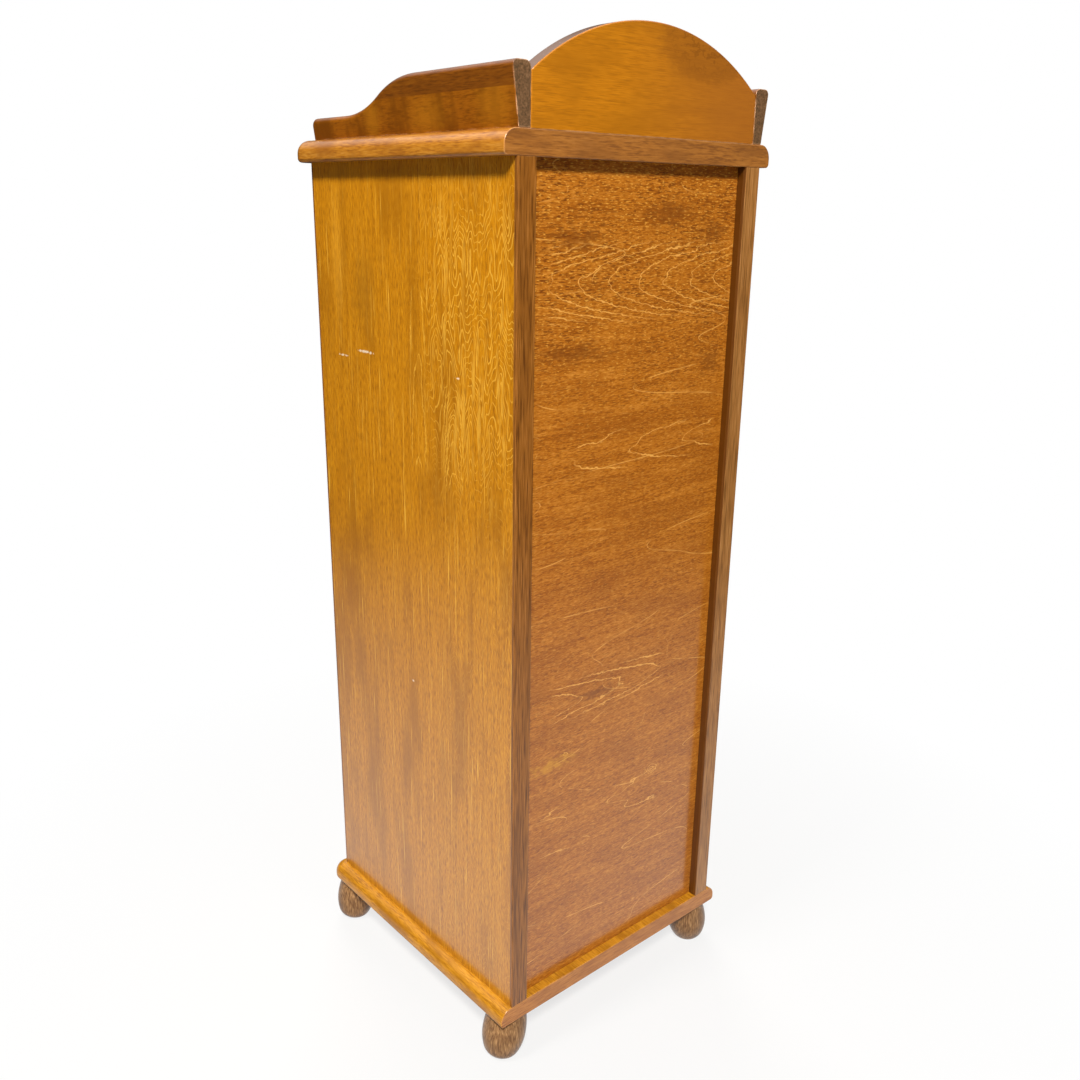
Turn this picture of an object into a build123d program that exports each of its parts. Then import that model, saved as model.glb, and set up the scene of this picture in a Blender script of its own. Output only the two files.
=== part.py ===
from build123d import *
import os
from math import asin, cos, degrees, radians, sin

# A tall, narrow telephone stand: a veneered cupboard on four splayed turned feet, with a drawer
# over a framed door, moulded top and base boards, and a gallery with an arched back on top.
# Millimetres. X runs to the right seen from the front, the front faces -Y, and Z is up.
# The origin is on the floor, under the middle of the overall width and depth.

# Carcass between the two moulded boards
body_width = 270.0
body_depth = 290.0
body_height = 730.0
side_thickness = 18.0
lipping_thickness = 3.0
lipping_arris_radius = 0.8
back_thickness = 4.0
back_recess = 9.0
back_tongue = 5.0

# Moulded top and base boards, flush with the carcass at the rear and proud of it elsewhere
top_thickness = 18.5
base_thickness = 17.5
side_overhang = 12.0
front_overhang = 12.0
plan_corner_radius = 14.0
board_round = 11.5
board_ease = 3.5

# Turned feet
foot_height = 47.0
foot_top_radius = 17.0
foot_belly_radius = 20.5
foot_belly_drop = 24.0
foot_lower_bend = 45.0
foot_sole_round = 13.0
foot_sole_cut = 1.6
foot_splay = 12.0
foot_side_inset = 12.0
foot_edge_inset = 19.5
foot_bolt_radius = 4.0
foot_bolt_in_board = 13.0
foot_bolt_in_foot = 25.0

# Gallery
gallery_back_thickness = 15.0
arch_spring_height = 37.5
arch_apex_height = 80.5
arch_arris_radius = 1.2
rail_foot_thickness = 11.0
rail_foot_inset = 13.0
rail_crown_thickness = 17.0
rail_crown_height = 43.5
rail_low_height = 18.0
rail_crown_length = 122.5
rail_curve_length = 108.0
rail_front_setback = 4.5
rail_nose_radius = 7.0
rail_round = 5.0

# Divider between the drawer and the cupboard, and the shelf
divider_thickness = 18.0
divider_arris_radius = 1.0
drawer_opening_height = 108.0
shelf_thickness = 15.0
shelf_height = 290.0
shelf_setback = 20.0
shelf_arris_radius = 1.5
shelf_pin_radius = 2.5
shelf_pin_in_side = 9.0
shelf_pin_under_shelf = 9.0
shelf_pin_inset = 35.0
shelf_pin_rows = 3
shelf_pin_pitch = 32.0

# Drawer
front_thickness = 18.0
front_arris_radius = 1.5
drawer_side_thickness = 12.0
drawer_side_height = 84.0
drawer_side_round = 2.5
drawer_rear_room = 19.0
drawer_lap = 9.0
drawer_bottom_thickness = 4.0
drawer_bottom_height = 8.0
drawer_tongue = 5.0
drawer_back_drop = 8.0
kicker_width = 12.0
stop_width = 30.0
stop_depth = 14.0
stop_height = 6.0
stop_spacing = 120.0

# Door
stile_width = 42.0
top_rail_width = 42.0
bottom_rail_width = 52.0
door_groove_width = 6.0
door_tongue = 9.0
frame_chamfer = 3.0
panel_field_proud = 3.5
panel_bevel = 28.0

# Knobs
knob_reach = 24.0
knob_head_radius = 14.0
knob_head_height = 12.0
knob_rim_height = 7.0
knob_rim_bulge = 1.8
knob_neck_radius = 6.0
knob_neck_height = 3.0
knob_base_radius = 9.0
knob_base_height = 2.5
knob_screw_radius = 2.0
knob_screw_grip = 12.0
knob_screw_head_radius = 4.0
knob_screw_head_height = 2.2
door_knob_height = 400.0

# Butt hinges
hinge_height = 50.0
hinge_end_distance = 75.0
leaf_thickness = 1.2
leaf_reach = 14.0
knuckle_radius = 3.0
knuckle_count = 5
hinge_pin_radius = 1.4
hinge_cap_radius = 2.4
hinge_cap_height = 1.2
hinge_screw_spacing = 28.0

# Magnetic catch
catch_width = 46.0
catch_depth = 15.0
catch_height = 13.0
catch_from_side = 28.0
catch_screw_spacing = 36.0
magnet_width = 22.0
magnet_depth = 10.0
magnet_height = 7.0
strike_width = 18.0
strike_height = 10.0
strike_thickness = 1.2

# Screws and dowels
screw_radius = 1.5
screw_head_radius = 2.9
screw_head_depth = 1.2
screw_grip = 12.0
dowel_radius = 4.0
dowel_in_board = 8.5
dowel_in_panel = 19.0
dowel_in_side = 10.0
dowel_end_distance = 45.0
dowel_count = 3
gallery_dowel_radius = 3.0
gallery_dowel_in_board = 7.5
gallery_dowel_in_rail = 11.0
arch_dowel_end_distance = 33.0
rail_dowel_end_distance = 20.0

# Clearances
front_gap = 1.5
run_gap = 0.3
kicker_gap = 1.0
shelf_gap = 0.5
panel_gap = 0.2
tongue_gap = 1.0
knuckle_gap = 0.3
knuckle_stand_off = 0.4
bore_gap = 0.05

# Places worked out from the sizes above
rear_y = (body_depth + knob_reach) / 2
front_y = rear_y - body_depth
board_front_y = front_y - front_overhang
half_width = body_width / 2
inner_x = half_width - side_thickness
board_half_width = half_width + side_overhang
base_top_z = foot_height + base_thickness
body_top_z = base_top_z + body_height
top_z = body_top_z + top_thickness
divider_top_z = body_top_z - drawer_opening_height
divider_low_z = divider_top_z - divider_thickness
back_rear_y = rear_y - back_recess
back_front_y = back_rear_y - back_thickness
front_half_width = inner_x - front_gap
front_back_y = front_y + front_thickness
gallery_inner_x = board_half_width - rail_foot_inset - rail_foot_thickness
rail_front_y = front_y + rail_front_setback

from_base = (Align.CENTER, Align.CENTER, Align.MIN)


def slab(x_range, y_range, z_range, grow=0.0):
    """A block between three pairs of planes, grown outwards on every face by grow."""
    ranges = (x_range, y_range, z_range)
    centre = [(low + high) / 2 for low, high in ranges]
    size = [high - low + 2 * grow for low, high in ranges]
    return Pos(*centre) * Box(*size)


def sided(side, near, far):
    """The X range from near to far on one side of the middle, in rising order."""
    return tuple(sorted((side * near, side * far)))


def rod(point, direction, radius, length):
    """A cylinder whose first end is centred on point and whose axis runs along direction."""
    return Plane(origin=point, z_dir=direction) * Cylinder(radius, length, align=from_base)


def dowel(point, direction, radius, before, after, clearance=0.0):
    """A dowel that reaches before back from point and after forwards, along direction."""
    start = Vector(point) - Vector(direction) * (before + clearance)
    return rod(start, direction, radius + clearance, before + after + 2 * clearance)


def wood_screw(point, direction, length, clearance=0.0):
    """A countersunk screw with its head flush at point, its shank running along direction."""
    head = Cone(
        screw_head_radius + clearance,
        screw_radius + clearance,
        screw_head_depth + clearance,
        align=from_base,
    )
    shank = Cylinder(screw_radius + clearance, length + clearance, align=from_base)
    return Plane(origin=point, z_dir=direction) * (head + shank)


def group(pieces):
    """Separate solids kept together as one sub-part."""
    return Part() + list(pieces)


# Fixings, each made once as a solid and once as the hole it sits in


def carcass_dowels(clearance=0.0):
    """The dowels that join both side panels to the base board and the top board."""
    pieces = []
    step = (body_depth - 2 * dowel_end_distance) / (dowel_count - 1)
    for side in (-1, 1):
        for index in range(dowel_count):
            x = side * (half_width - side_thickness / 2)
            y = front_y + dowel_end_distance + index * step
            for z, up in ((base_top_z, 1), (body_top_z, -1)):
                reach = (dowel_in_board, dowel_in_panel)
                pieces.append(dowel((x, y, z), (0, 0, up), dowel_radius, *reach, clearance))
    return pieces


def divider_dowels(clearance=0.0):
    """The dowels between the divider's ends and the side panels."""
    pieces = []
    z = divider_low_z + divider_thickness / 2
    for side in (-1, 1):
        for y in (front_y + dowel_end_distance, back_front_y - dowel_end_distance):
            point = (side * inner_x, y, z)
            reach = (dowel_in_side, dowel_in_panel)
            pieces.append(dowel(point, (-side, 0, 0), dowel_radius, *reach, clearance))
    return pieces


def gallery_dowels(clearance=0.0):
    """The dowels that hold the rails and the arched back down on the top board."""
    places = []
    rail_middle = gallery_inner_x + rail_foot_thickness / 2
    first = rail_front_y + rail_dowel_end_distance
    last = rear_y - rail_dowel_end_distance
    for side in (-1, 1):
        for y in (first, (first + last) / 2, last):
            places.append((side * rail_middle, y, top_z))
    arch_dowel_x = gallery_inner_x - arch_dowel_end_distance
    for x in (-arch_dowel_x, 0, arch_dowel_x):
        places.append((x, rear_y - gallery_back_thickness / 2, top_z))
    reach = (gallery_dowel_in_board, gallery_dowel_in_rail)
    return [dowel(place, (0, 0, 1), gallery_dowel_radius, *reach, clearance) for place in places]


def shelf_pin_places():
    """The shelf pin axes on the side panels: side, depth and height, row by row."""
    shelf_front = front_y + front_thickness + shelf_setback
    middle = base_top_z + shelf_height - shelf_thickness - shelf_pin_radius
    places = []
    for row in range(shelf_pin_rows):
        z = middle + (row - (shelf_pin_rows - 1) / 2) * shelf_pin_pitch
        for y in (shelf_front + shelf_pin_inset, back_front_y - shelf_pin_inset):
            for side in (-1, 1):
                places.append((side, y, z))
    return places


def shelf_pins():
    """Four plain steel pins in the middle row, half in the side panels and half under the shelf."""
    middle = base_top_z + shelf_height - shelf_thickness - shelf_pin_radius
    reach = (shelf_pin_in_side, shelf_pin_under_shelf)
    return [
        dowel((side * inner_x, y, z), (-side, 0, 0), shelf_pin_radius, *reach)
        for side, y, z in shelf_pin_places()
        if abs(z - middle) < bore_gap
    ]


def shelf_pin_holes(side):
    """The blind holes for the shelf pins in one side panel."""
    depth = shelf_pin_in_side + bore_gap
    return [
        rod((side * inner_x, y, z), (side, 0, 0), shelf_pin_radius + bore_gap, depth)
        for hole_side, y, z in shelf_pin_places()
        if hole_side == side
    ]


# Turned feet


def foot_frame(side, y):
    """The foot's own frame, on its axis at the base board's underside, leaning out downwards."""
    return Pos(side * (half_width - foot_side_inset), y, foot_height) * Rot(0, -side * foot_splay, 0)


def foot_places():
    """Front and rear feet on both sides, by name."""
    depths = {"front": board_front_y + foot_edge_inset, "rear": rear_y - foot_edge_inset}
    sides = {"left": -1, "right": 1}
    return {
        f"{end}_{hand}": (sides[hand], depths[end])
        for end in depths
        for hand in sides
    }


def foot_bolt(side, y, clearance=0.0):
    """The hanger bolt along the foot's axis, partly in the board and partly in the foot."""
    reach = (foot_bolt_in_foot, foot_bolt_in_board)
    return foot_frame(side, y) * dowel((0, 0, 0), (0, 0, 1), foot_bolt_radius, *reach, clearance)


def foot_profile():
    """Half the foot's outline: three arcs, each running into the next without a corner.

    Two arcs share an upright tangent at the belly. The upper one passes through the top radius at
    the board: if it comes in by a over a height h, its radius is (h * h + a * a) / (2 * a). The lower
    one has its own radius, and a tighter arc carries it round to the flat end. Both ends run on a
    little, to be cut level.
    """
    lean = radians(foot_splay)
    upper_in = foot_belly_radius - foot_top_radius
    upper = (foot_belly_drop**2 + upper_in**2) / (2 * upper_in)
    rise = foot_top_radius * sin(lean) + foot_sole_cut
    upper_turn = degrees(asin((foot_belly_drop + rise) / upper))
    over_belly = CenterArc((foot_belly_radius - upper, -foot_belly_drop), upper, 0, upper_turn)
    tip_z = -foot_height / cos(lean) - foot_sole_cut
    round_z = tip_z + foot_sole_round
    spread = foot_lower_bend - foot_sole_round
    turn = asin((-foot_belly_drop - round_z) / spread)
    lower_x = foot_belly_radius - foot_lower_bend
    under_belly = CenterArc((lower_x, -foot_belly_drop), foot_lower_bend, 0, -degrees(turn))
    round_x = lower_x + spread * cos(turn)
    sole = CenterArc((round_x, round_z), foot_sole_round, -degrees(turn), degrees(turn) - 90)
    top = over_belly @ 1
    middle = Polyline((top.X, top.Y), (0, top.Y), (0, tip_z), (round_x, tip_z))
    return make_face(over_belly + under_belly + sole + middle)


def turned_foot(side, y):
    """The turned foot on its leaning axis, cut off level under the board and at the floor."""
    turned = revolve(Plane.XZ * foot_profile(), Axis.Z)
    reach = foot_belly_radius + foot_height
    x = side * half_width
    room = slab((x - reach, x + reach), (y - reach, y + reach), (0, foot_height))
    return (foot_frame(side, y) * turned & room) - foot_bolt(side, y, bore_gap)


# Moulded boards


def moulded_board(low_z, thickness):
    """A board with rounded front corners, a large round on its top edges and a small one below.

    The rear edge stays square, because it is cut flush with the carcass.
    """
    x_range = (-board_half_width, board_half_width)
    board = slab(x_range, (board_front_y, rear_y), (low_z, low_z + thickness))
    corners = board.edges().filter_by(Axis.Z).group_by(Axis.Y)[0]
    board = fillet(corners, plan_corner_radius)
    upper = board.faces().sort_by(Axis.Z)[-1].edges().sort_by(Axis.Y)[:-1]
    board = fillet(upper, board_round)
    lower = board.faces().sort_by(Axis.Z)[0].edges().sort_by(Axis.Y)[:-1]
    return fillet(lower, board_ease)


def back_panel(grow=0.0):
    """The plywood back, with a tongue all round in the grooves of the carcass."""
    return slab(
        (-inner_x - back_tongue, inner_x + back_tongue),
        (back_front_y, back_rear_y),
        (base_top_z - back_tongue, body_top_z + back_tongue),
        grow,
    )


def base_board():
    bolts = [foot_bolt(side, y, bore_gap) for side, y in foot_places().values()]
    board = moulded_board(foot_height, base_thickness)
    return board - back_panel(panel_gap) - carcass_dowels(bore_gap) - bolts


def top_board():
    board = moulded_board(body_top_z, top_thickness)
    return board - back_panel(panel_gap) - carcass_dowels(bore_gap) - gallery_dowels(bore_gap)


# Side panels and their lippings


def side_blank(side, y_range):
    """A full-height strip of the side panel's thickness over a range of depth."""
    return slab(sided(side, inner_x, half_width), y_range, (base_top_z, body_top_z))


def side_panel(side):
    """A veneered side panel with its back groove, dowel holes, pin holes and hinge mortises."""
    panel = side_blank(side, (front_y + lipping_thickness, rear_y - lipping_thickness))
    panel = panel - back_panel(panel_gap) - carcass_dowels(bore_gap) - divider_dowels(bore_gap)
    panel = panel - shelf_pin_holes(side)
    if side < 0:
        panel = panel - hinge_mortises(-1) - hinge_screws(-1, bore_gap)
    return panel


def front_lipping(side):
    """The solid strip glued on the front edge, let in for the hinges on the hinge side."""
    strip = side_blank(side, (front_y, front_y + lipping_thickness))
    arrises = strip.edges().filter_by(Axis.Z).group_by(Axis.Y)[0]
    strip = fillet(arrises, lipping_arris_radius)
    return strip - hinge_mortises(-1) if side < 0 else strip


def rear_lipping(side):
    """The solid strip glued on the rear edge."""
    strip = side_blank(side, (rear_y - lipping_thickness, rear_y))
    return fillet(strip.edges().filter_by(Axis.Z).group_by(Axis.Y)[-1], lipping_arris_radius)


# Inner boards


def divider():
    """The board under the drawer, which the drawer runs on and the catch hangs from."""
    board = slab((-inner_x, inner_x), (front_y, back_front_y), (divider_low_z, divider_top_z))
    board = fillet(board.edges().filter_by(Axis.X).group_by(Axis.Y)[0], divider_arris_radius)
    return board - divider_dowels(bore_gap) - catch_screws(bore_gap)


def shelf():
    """The loose shelf, which lies on the four pins."""
    high_z = base_top_z + shelf_height
    board = slab(
        (-inner_x + shelf_gap, inner_x - shelf_gap),
        (front_back_y + shelf_setback, back_front_y - shelf_gap),
        (high_z - shelf_thickness, high_z),
    )
    return fillet(board.edges().filter_by(Axis.X).group_by(Axis.Y)[0], shelf_arris_radius)


def drawer_kickers():
    """Strips on the side panels over the drawer sides, which keep the open drawer from tipping."""
    low_z = divider_top_z + run_gap + drawer_side_height + kicker_gap
    y_range = (front_back_y + run_gap, back_front_y)
    return [
        slab(sided(side, inner_x - kicker_width, inner_x), y_range, (low_z, body_top_z))
        for side in (-1, 1)
    ]


def drawer_stops():
    """Two blocks on the divider, just behind the closed drawer front's lower edge."""
    y = front_back_y + run_gap
    return [
        slab(
            (x - stop_width / 2, x + stop_width / 2),
            (y, y + stop_depth),
            (divider_top_z, divider_top_z + stop_height),
        )
        for x in (-stop_spacing / 2, stop_spacing / 2)
    ]


# Gallery


def gallery_rail(side):
    """A side rail: an ogee top line, an upright inner face and an outer face that leans out.

    Two equal arcs, level at their outer ends, join the high rear run to the low front run.
    """
    crown_end = rear_y - rail_crown_length
    low_start = crown_end - rail_curve_length
    turn = (crown_end - rail_curve_length / 2, (rail_crown_height + rail_low_height) / 2)
    outline = (
        Polyline((low_start, rail_low_height), (rail_front_y, rail_low_height), (rail_front_y, 0))
        + Polyline((rail_front_y, 0), (rear_y, 0), (rear_y, rail_crown_height))
        + Line((rear_y, rail_crown_height), (crown_end, rail_crown_height))
        + TangentArc((crown_end, rail_crown_height), turn, tangent=(-1, 0))
        + TangentArc((low_start, rail_low_height), turn, tangent=(1, 0))
    )
    rail = extrude(Plane.YZ * make_face(outline), rail_crown_thickness)
    nose = rail.edges().filter_by(Axis.X).group_by(Axis.Y)[0].sort_by(Axis.Z)[-1]
    rail = fillet(nose, rail_nose_radius)
    outside = Polyline(
        (rail_foot_thickness, 0),
        (rail_crown_thickness, rail_crown_height),
        (2 * rail_crown_thickness, rail_crown_height),
        (2 * rail_crown_thickness, 0),
        close=True,
    )
    wedge = extrude(Plane.XZ * make_face(outside), body_depth, both=True)
    rail = rail - wedge
    faces = rail.faces().sort_by(Axis.X)
    arrises = (faces[0].edges() + faces[-1].edges()).filter_by(
        lambda edge: edge.center().Z > rail_round and edge.center().Y < rear_y - rail_round
    )
    rail = Pos(gallery_inner_x, 0, top_z) * fillet(arrises, rail_round)
    if side < 0:
        rail = mirror(rail, Plane.YZ)
    return rail - gallery_dowels(bore_gap)


def gallery_back():
    """The arched board between the rails: upright ends and one arc over the top."""
    ends = Polyline(
        (-gallery_inner_x, arch_spring_height),
        (-gallery_inner_x, 0),
        (gallery_inner_x, 0),
        (gallery_inner_x, arch_spring_height),
    )
    arch = ThreePointArc(
        (-gallery_inner_x, arch_spring_height),
        (0, arch_apex_height),
        (gallery_inner_x, arch_spring_height),
    )
    board = extrude(Plane.XZ * make_face(ends + arch), gallery_back_thickness)
    board = fillet(board.edges().filter_by(GeomType.CIRCLE), arch_arris_radius)
    return Pos(0, rear_y, top_z) * board - gallery_dowels(bore_gap)


# Knobs


def knob():
    """A turned knob on +Z: a flange, a neck that flares into the head, a round rim and a dome."""
    rim_x = knob_head_radius - knob_rim_bulge
    rim_low = knob_reach - knob_head_height
    rim_middle = rim_low + knob_rim_height / 2
    rim_high = rim_low + knob_rim_height
    neck_z = knob_base_height + knob_neck_height
    profile = (
        Polyline((0, knob_reach), (0, 0), (knob_base_radius, 0), (knob_base_radius, knob_base_height))
        + Polyline((knob_base_radius, knob_base_height), (knob_neck_radius, knob_base_height))
        + Line((knob_neck_radius, knob_base_height), (knob_neck_radius, neck_z))
        + TangentArc((knob_neck_radius, neck_z), (rim_x, rim_low), tangent=(0, 1))
        + ThreePointArc((rim_x, rim_low), (knob_head_radius, rim_middle), (rim_x, rim_high))
        + TangentArc((0, knob_reach), (rim_x, rim_high), tangent=(1, 0))
    )
    turned = revolve(Plane.XZ * make_face(profile), Axis.Z)
    arris = turned.edges().filter_by(lambda edge: abs(edge.center().Z - knob_base_height) < bore_gap)
    return fillet(arris.sort_by(lambda edge: edge.length)[-1], knob_base_height / 2)


def knob_screw(x, z, clearance=0.0):
    """The machine screw from behind the front into the knob."""
    reach = (front_thickness, knob_screw_grip)
    shank = dowel((x, front_y, z), (0, -1, 0), knob_screw_radius, *reach, clearance)
    head_radius = knob_screw_head_radius + clearance
    return shank + rod((x, front_back_y, z), (0, 1, 0), head_radius, knob_screw_head_height)


def placed_knob(x, z):
    """A knob on the front face, with its blind screw hole."""
    turned = Plane(origin=(x, front_y, z), z_dir=(0, -1, 0)) * knob()
    return turned - knob_screw(x, z, bore_gap)


# Fronts


def front_blank(z_range):
    """A full-width front board between the side panels, with its front arrises eased."""
    board = slab((-front_half_width, front_half_width), (front_y, front_back_y), z_range)
    return fillet(board.faces().sort_by(Axis.Y)[0].edges(), front_arris_radius)


# Drawer

drawer_low_z = divider_top_z + run_gap
drawer_side_top_z = drawer_low_z + drawer_side_height
drawer_rear_y = back_front_y - drawer_rear_room
drawer_inner_x = front_half_width - drawer_side_thickness
drawer_front_low_z = divider_top_z + front_gap
drawer_front_top_z = body_top_z - front_gap
drawer_knob_z = (drawer_front_low_z + drawer_front_top_z) / 2


def drawer_side(side):
    """A drawer side, let into the front by the lap, with a rounded top and a groove for the bottom."""
    board = slab(
        sided(side, drawer_inner_x, front_half_width),
        (front_back_y - drawer_lap, drawer_rear_y),
        (drawer_low_z, drawer_side_top_z),
    )
    board = fillet(board.edges().filter_by(Axis.Y).group_by(Axis.Z)[-1], drawer_side_round)
    return board - drawer_bottom(panel_gap)


def drawer_bottom(grow=0.0):
    """The thin bottom, in the grooves of the sides and the front and under the drawer's back."""
    low_z = drawer_low_z + drawer_bottom_height
    return slab(
        (-drawer_inner_x - drawer_tongue, drawer_inner_x + drawer_tongue),
        (front_back_y - drawer_tongue, drawer_rear_y),
        (low_z, low_z + drawer_bottom_thickness),
        grow,
    )


def drawer_back():
    """The drawer's back, between the sides and on top of the bottom."""
    low_z = drawer_low_z + drawer_bottom_height + drawer_bottom_thickness
    return slab(
        (-drawer_inner_x, drawer_inner_x),
        (drawer_rear_y - drawer_side_thickness, drawer_rear_y),
        (low_z, drawer_side_top_z - drawer_back_drop),
    )


def drawer_front():
    """The drawer front, rebated at both ends for the sides and grooved for the bottom."""
    board = front_blank((drawer_front_low_z, drawer_front_top_z))
    for side in (-1, 1):
        board = board - slab(
            sided(side, drawer_inner_x, front_half_width + side_thickness),
            (front_back_y - drawer_lap, front_back_y + drawer_lap),
            (drawer_low_z, drawer_side_top_z),
        )
    return board - drawer_bottom(panel_gap) - knob_screw(0, drawer_knob_z, bore_gap)


# Door

door_low_z = base_top_z + front_gap
door_top_z = divider_low_z - front_gap
door_groove_y = front_y + (front_thickness - door_groove_width) / 2
stile_inner_x = front_half_width - stile_width
door_knob_x = front_half_width - stile_width / 2
door_knob_z = base_top_z + door_knob_height


def door_panel_edge():
    """The flat rim of the door panel, which floats in the grooves of the frame."""
    reach = door_tongue - tongue_gap
    return slab(
        (-stile_inner_x - reach, stile_inner_x + reach),
        (door_groove_y + panel_gap, door_groove_y + door_groove_width - panel_gap),
        (door_low_z + bottom_rail_width - reach, door_top_z - top_rail_width + reach),
    )


def door_panel():
    """The fielded panel: a bevel rises from the rim to a flat field in front of it."""
    width = 2 * stile_inner_x
    low_z = door_low_z + bottom_rail_width
    high_z = door_top_z - top_rail_width
    height = high_z - low_z
    rim_y = door_groove_y + panel_gap
    foot = Plane(origin=(0, rim_y, (low_z + high_z) / 2), x_dir=(1, 0, 0), z_dir=(0, -1, 0))
    field = loft(
        [
            foot * Rectangle(width - 2 * panel_gap, height - 2 * panel_gap),
            foot.offset(panel_field_proud) * Rectangle(width - 2 * panel_bevel, height - 2 * panel_bevel),
        ]
    )
    return door_panel_edge() + field


def door_grooves():
    """The slot that holds the panel's rim, in the inner edges of the stiles and the rails."""
    reach = stile_inner_x + door_tongue
    return slab(
        (-reach, reach),
        (door_groove_y, door_groove_y + door_groove_width),
        (door_low_z + bottom_rail_width - door_tongue, door_top_z - top_rail_width + door_tongue),
    )


def door_chamfer():
    """The mitred chamfer round the frame's opening, as the tapered plug that cuts it."""
    low_z = door_low_z + bottom_rail_width
    high_z = door_top_z - top_rail_width
    face = Plane(origin=(0, front_y, (low_z + high_z) / 2), x_dir=(1, 0, 0), z_dir=(0, 1, 0))
    width = 2 * stile_inner_x
    height = high_z - low_z
    return loft(
        [
            face * Rectangle(width + 2 * frame_chamfer, height + 2 * frame_chamfer),
            face.offset(frame_chamfer) * Rectangle(width, height),
        ]
    )


def door_rail(low_z, width):
    """A rail with a stub tenon on each end, chamfered and grooved along the panel's side."""
    body = slab((-stile_inner_x, stile_inner_x), (front_y, front_back_y), (low_z, low_z + width))
    reach = stile_inner_x + door_tongue
    y_range = (door_groove_y, door_groove_y + door_groove_width)
    tenons = slab((-reach, reach), y_range, (low_z, low_z + width))
    rail = (body & front_blank((door_low_z, door_top_z))) - door_chamfer()
    return rail + tenons - door_grooves()


def door_rails():
    """Both rails of the door, by name."""
    return {
        "door_top_rail": door_rail(door_top_z - top_rail_width, top_rail_width),
        "door_bottom_rail": door_rail(door_low_z, bottom_rail_width),
    }


def door_stile(side):
    """A stile, mortised for the rails and grooved for the panel, with its knob or hinge holes."""
    z_range = (door_low_z, door_top_z)
    body = slab(sided(side, stile_inner_x, front_half_width), (front_y, front_back_y), z_range)
    stile = (body & front_blank(z_range)) - door_chamfer() - door_grooves()
    for rail in door_rails().values():
        stile = stile - rail
    if side < 0:
        return stile - hinge_mortises(1) - hinge_screws(1, bore_gap)
    return stile - knob_screw(door_knob_x, door_knob_z, bore_gap) - strike_screw(bore_gap)


# Butt hinges, on the left of the door

hinge_x = -inner_x + front_gap / 2
hinge_y = front_y - knuckle_radius - knuckle_stand_off
hinge_centres = {
    "upper": door_top_z - hinge_end_distance,
    "lower": door_low_z + hinge_end_distance,
}


def leaf_slab(which, centre_z, front_end, grow=0.0):
    """A flat leaf from front_end back into the stand: which is -1 on the panel and 1 on the door."""
    face_x = -inner_x if which < 0 else -front_half_width
    x_range = (face_x - leaf_thickness, face_x) if which < 0 else (face_x, face_x + leaf_thickness)
    half = (hinge_height - knuckle_gap) / 2
    return slab(x_range, (front_end, front_y + leaf_reach), (centre_z - half, centre_z + half), grow)


def hinge_mortises(which):
    """The shallow seats for both leaves of one kind, open at the front edge."""
    return [leaf_slab(which, z, front_y - knuckle_gap, bore_gap) for z in hinge_centres.values()]


def hinge_screws(which, clearance=0.0):
    """Two screws in each leaf, away from the joint between the leaves."""
    face_x = -inner_x if which < 0 else -front_half_width
    pieces = []
    for centre_z in hinge_centres.values():
        for shift in (-1, 1):
            head = (face_x, front_y + leaf_reach / 2, centre_z + shift * hinge_screw_spacing / 2)
            pieces.append(wood_screw(head, (which, 0, 0), screw_grip, clearance))
    return pieces


def knuckle(centre_z, index, radius, grow):
    """One knuckle's cylinder, shortened by the gap between knuckles and lengthened by grow."""
    pitch = hinge_height / knuckle_count
    low_z = centre_z - hinge_height / 2 + index * pitch + knuckle_gap / 2 - grow
    return rod((hinge_x, hinge_y, low_z), (0, 0, 1), radius, pitch - knuckle_gap + 2 * grow)


def hinge_leaf(which, centre_z):
    """A leaf with every second knuckle, cut clear round the knuckles of its partner."""
    leaf = leaf_slab(which, centre_z, hinge_y)
    first = 0 if which < 0 else 1
    for index in range(knuckle_count):
        if index % 2 == first:
            leaf = leaf + knuckle(centre_z, index, knuckle_radius, 0)
        else:
            leaf = leaf - knuckle(centre_z, index, knuckle_radius + knuckle_gap, knuckle_gap)
    below = (hinge_x, hinge_y, centre_z - hinge_height)
    bore = rod(below, (0, 0, 1), hinge_pin_radius + bore_gap, 2 * hinge_height)
    return leaf - bore - hinge_screws(which, bore_gap)


def hinge_pins():
    """The hinge pins, with a flat cap on each end."""
    pieces = []
    for centre_z in hinge_centres.values():
        half = (hinge_height - knuckle_gap) / 2
        low = (hinge_x, hinge_y, centre_z - half)
        shank = rod(low, (0, 0, 1), hinge_pin_radius, 2 * half)
        foot_cap = rod(low, (0, 0, -1), hinge_cap_radius, hinge_cap_height)
        head_cap = rod((hinge_x, hinge_y, centre_z + half), (0, 0, 1), hinge_cap_radius, hinge_cap_height)
        pieces.append(shank + foot_cap + head_cap)
    return pieces


# Magnetic catch under the divider, at the knob side

catch_x = inner_x - catch_from_side
strike_rear_y = front_back_y + strike_thickness
catch_front_y = strike_rear_y + run_gap
catch_middle_z = divider_low_z - catch_height / 2


def magnet():
    """The magnet, flush with the mouth of the catch."""
    return slab(
        (catch_x - magnet_width / 2, catch_x + magnet_width / 2),
        (catch_front_y, catch_front_y + magnet_depth),
        (catch_middle_z - magnet_height / 2, catch_middle_z + magnet_height / 2),
    )


def catch_screws(clearance=0.0):
    """The two screws that go up through the catch into the divider."""
    pieces = []
    for shift in (-1, 1):
        x = catch_x + shift * catch_screw_spacing / 2
        head = (x, catch_front_y + catch_depth / 2, divider_low_z - catch_height)
        pieces.append(wood_screw(head, (0, 0, 1), catch_height + screw_grip, clearance))
    return pieces


def catch_housing():
    """The moulded block of the catch, with the magnet's pocket and two screw holes."""
    block = slab(
        (catch_x - catch_width / 2, catch_x + catch_width / 2),
        (catch_front_y, catch_front_y + catch_depth),
        (divider_low_z - catch_height, divider_low_z),
    )
    return block - magnet() - catch_screws(bore_gap)


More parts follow.
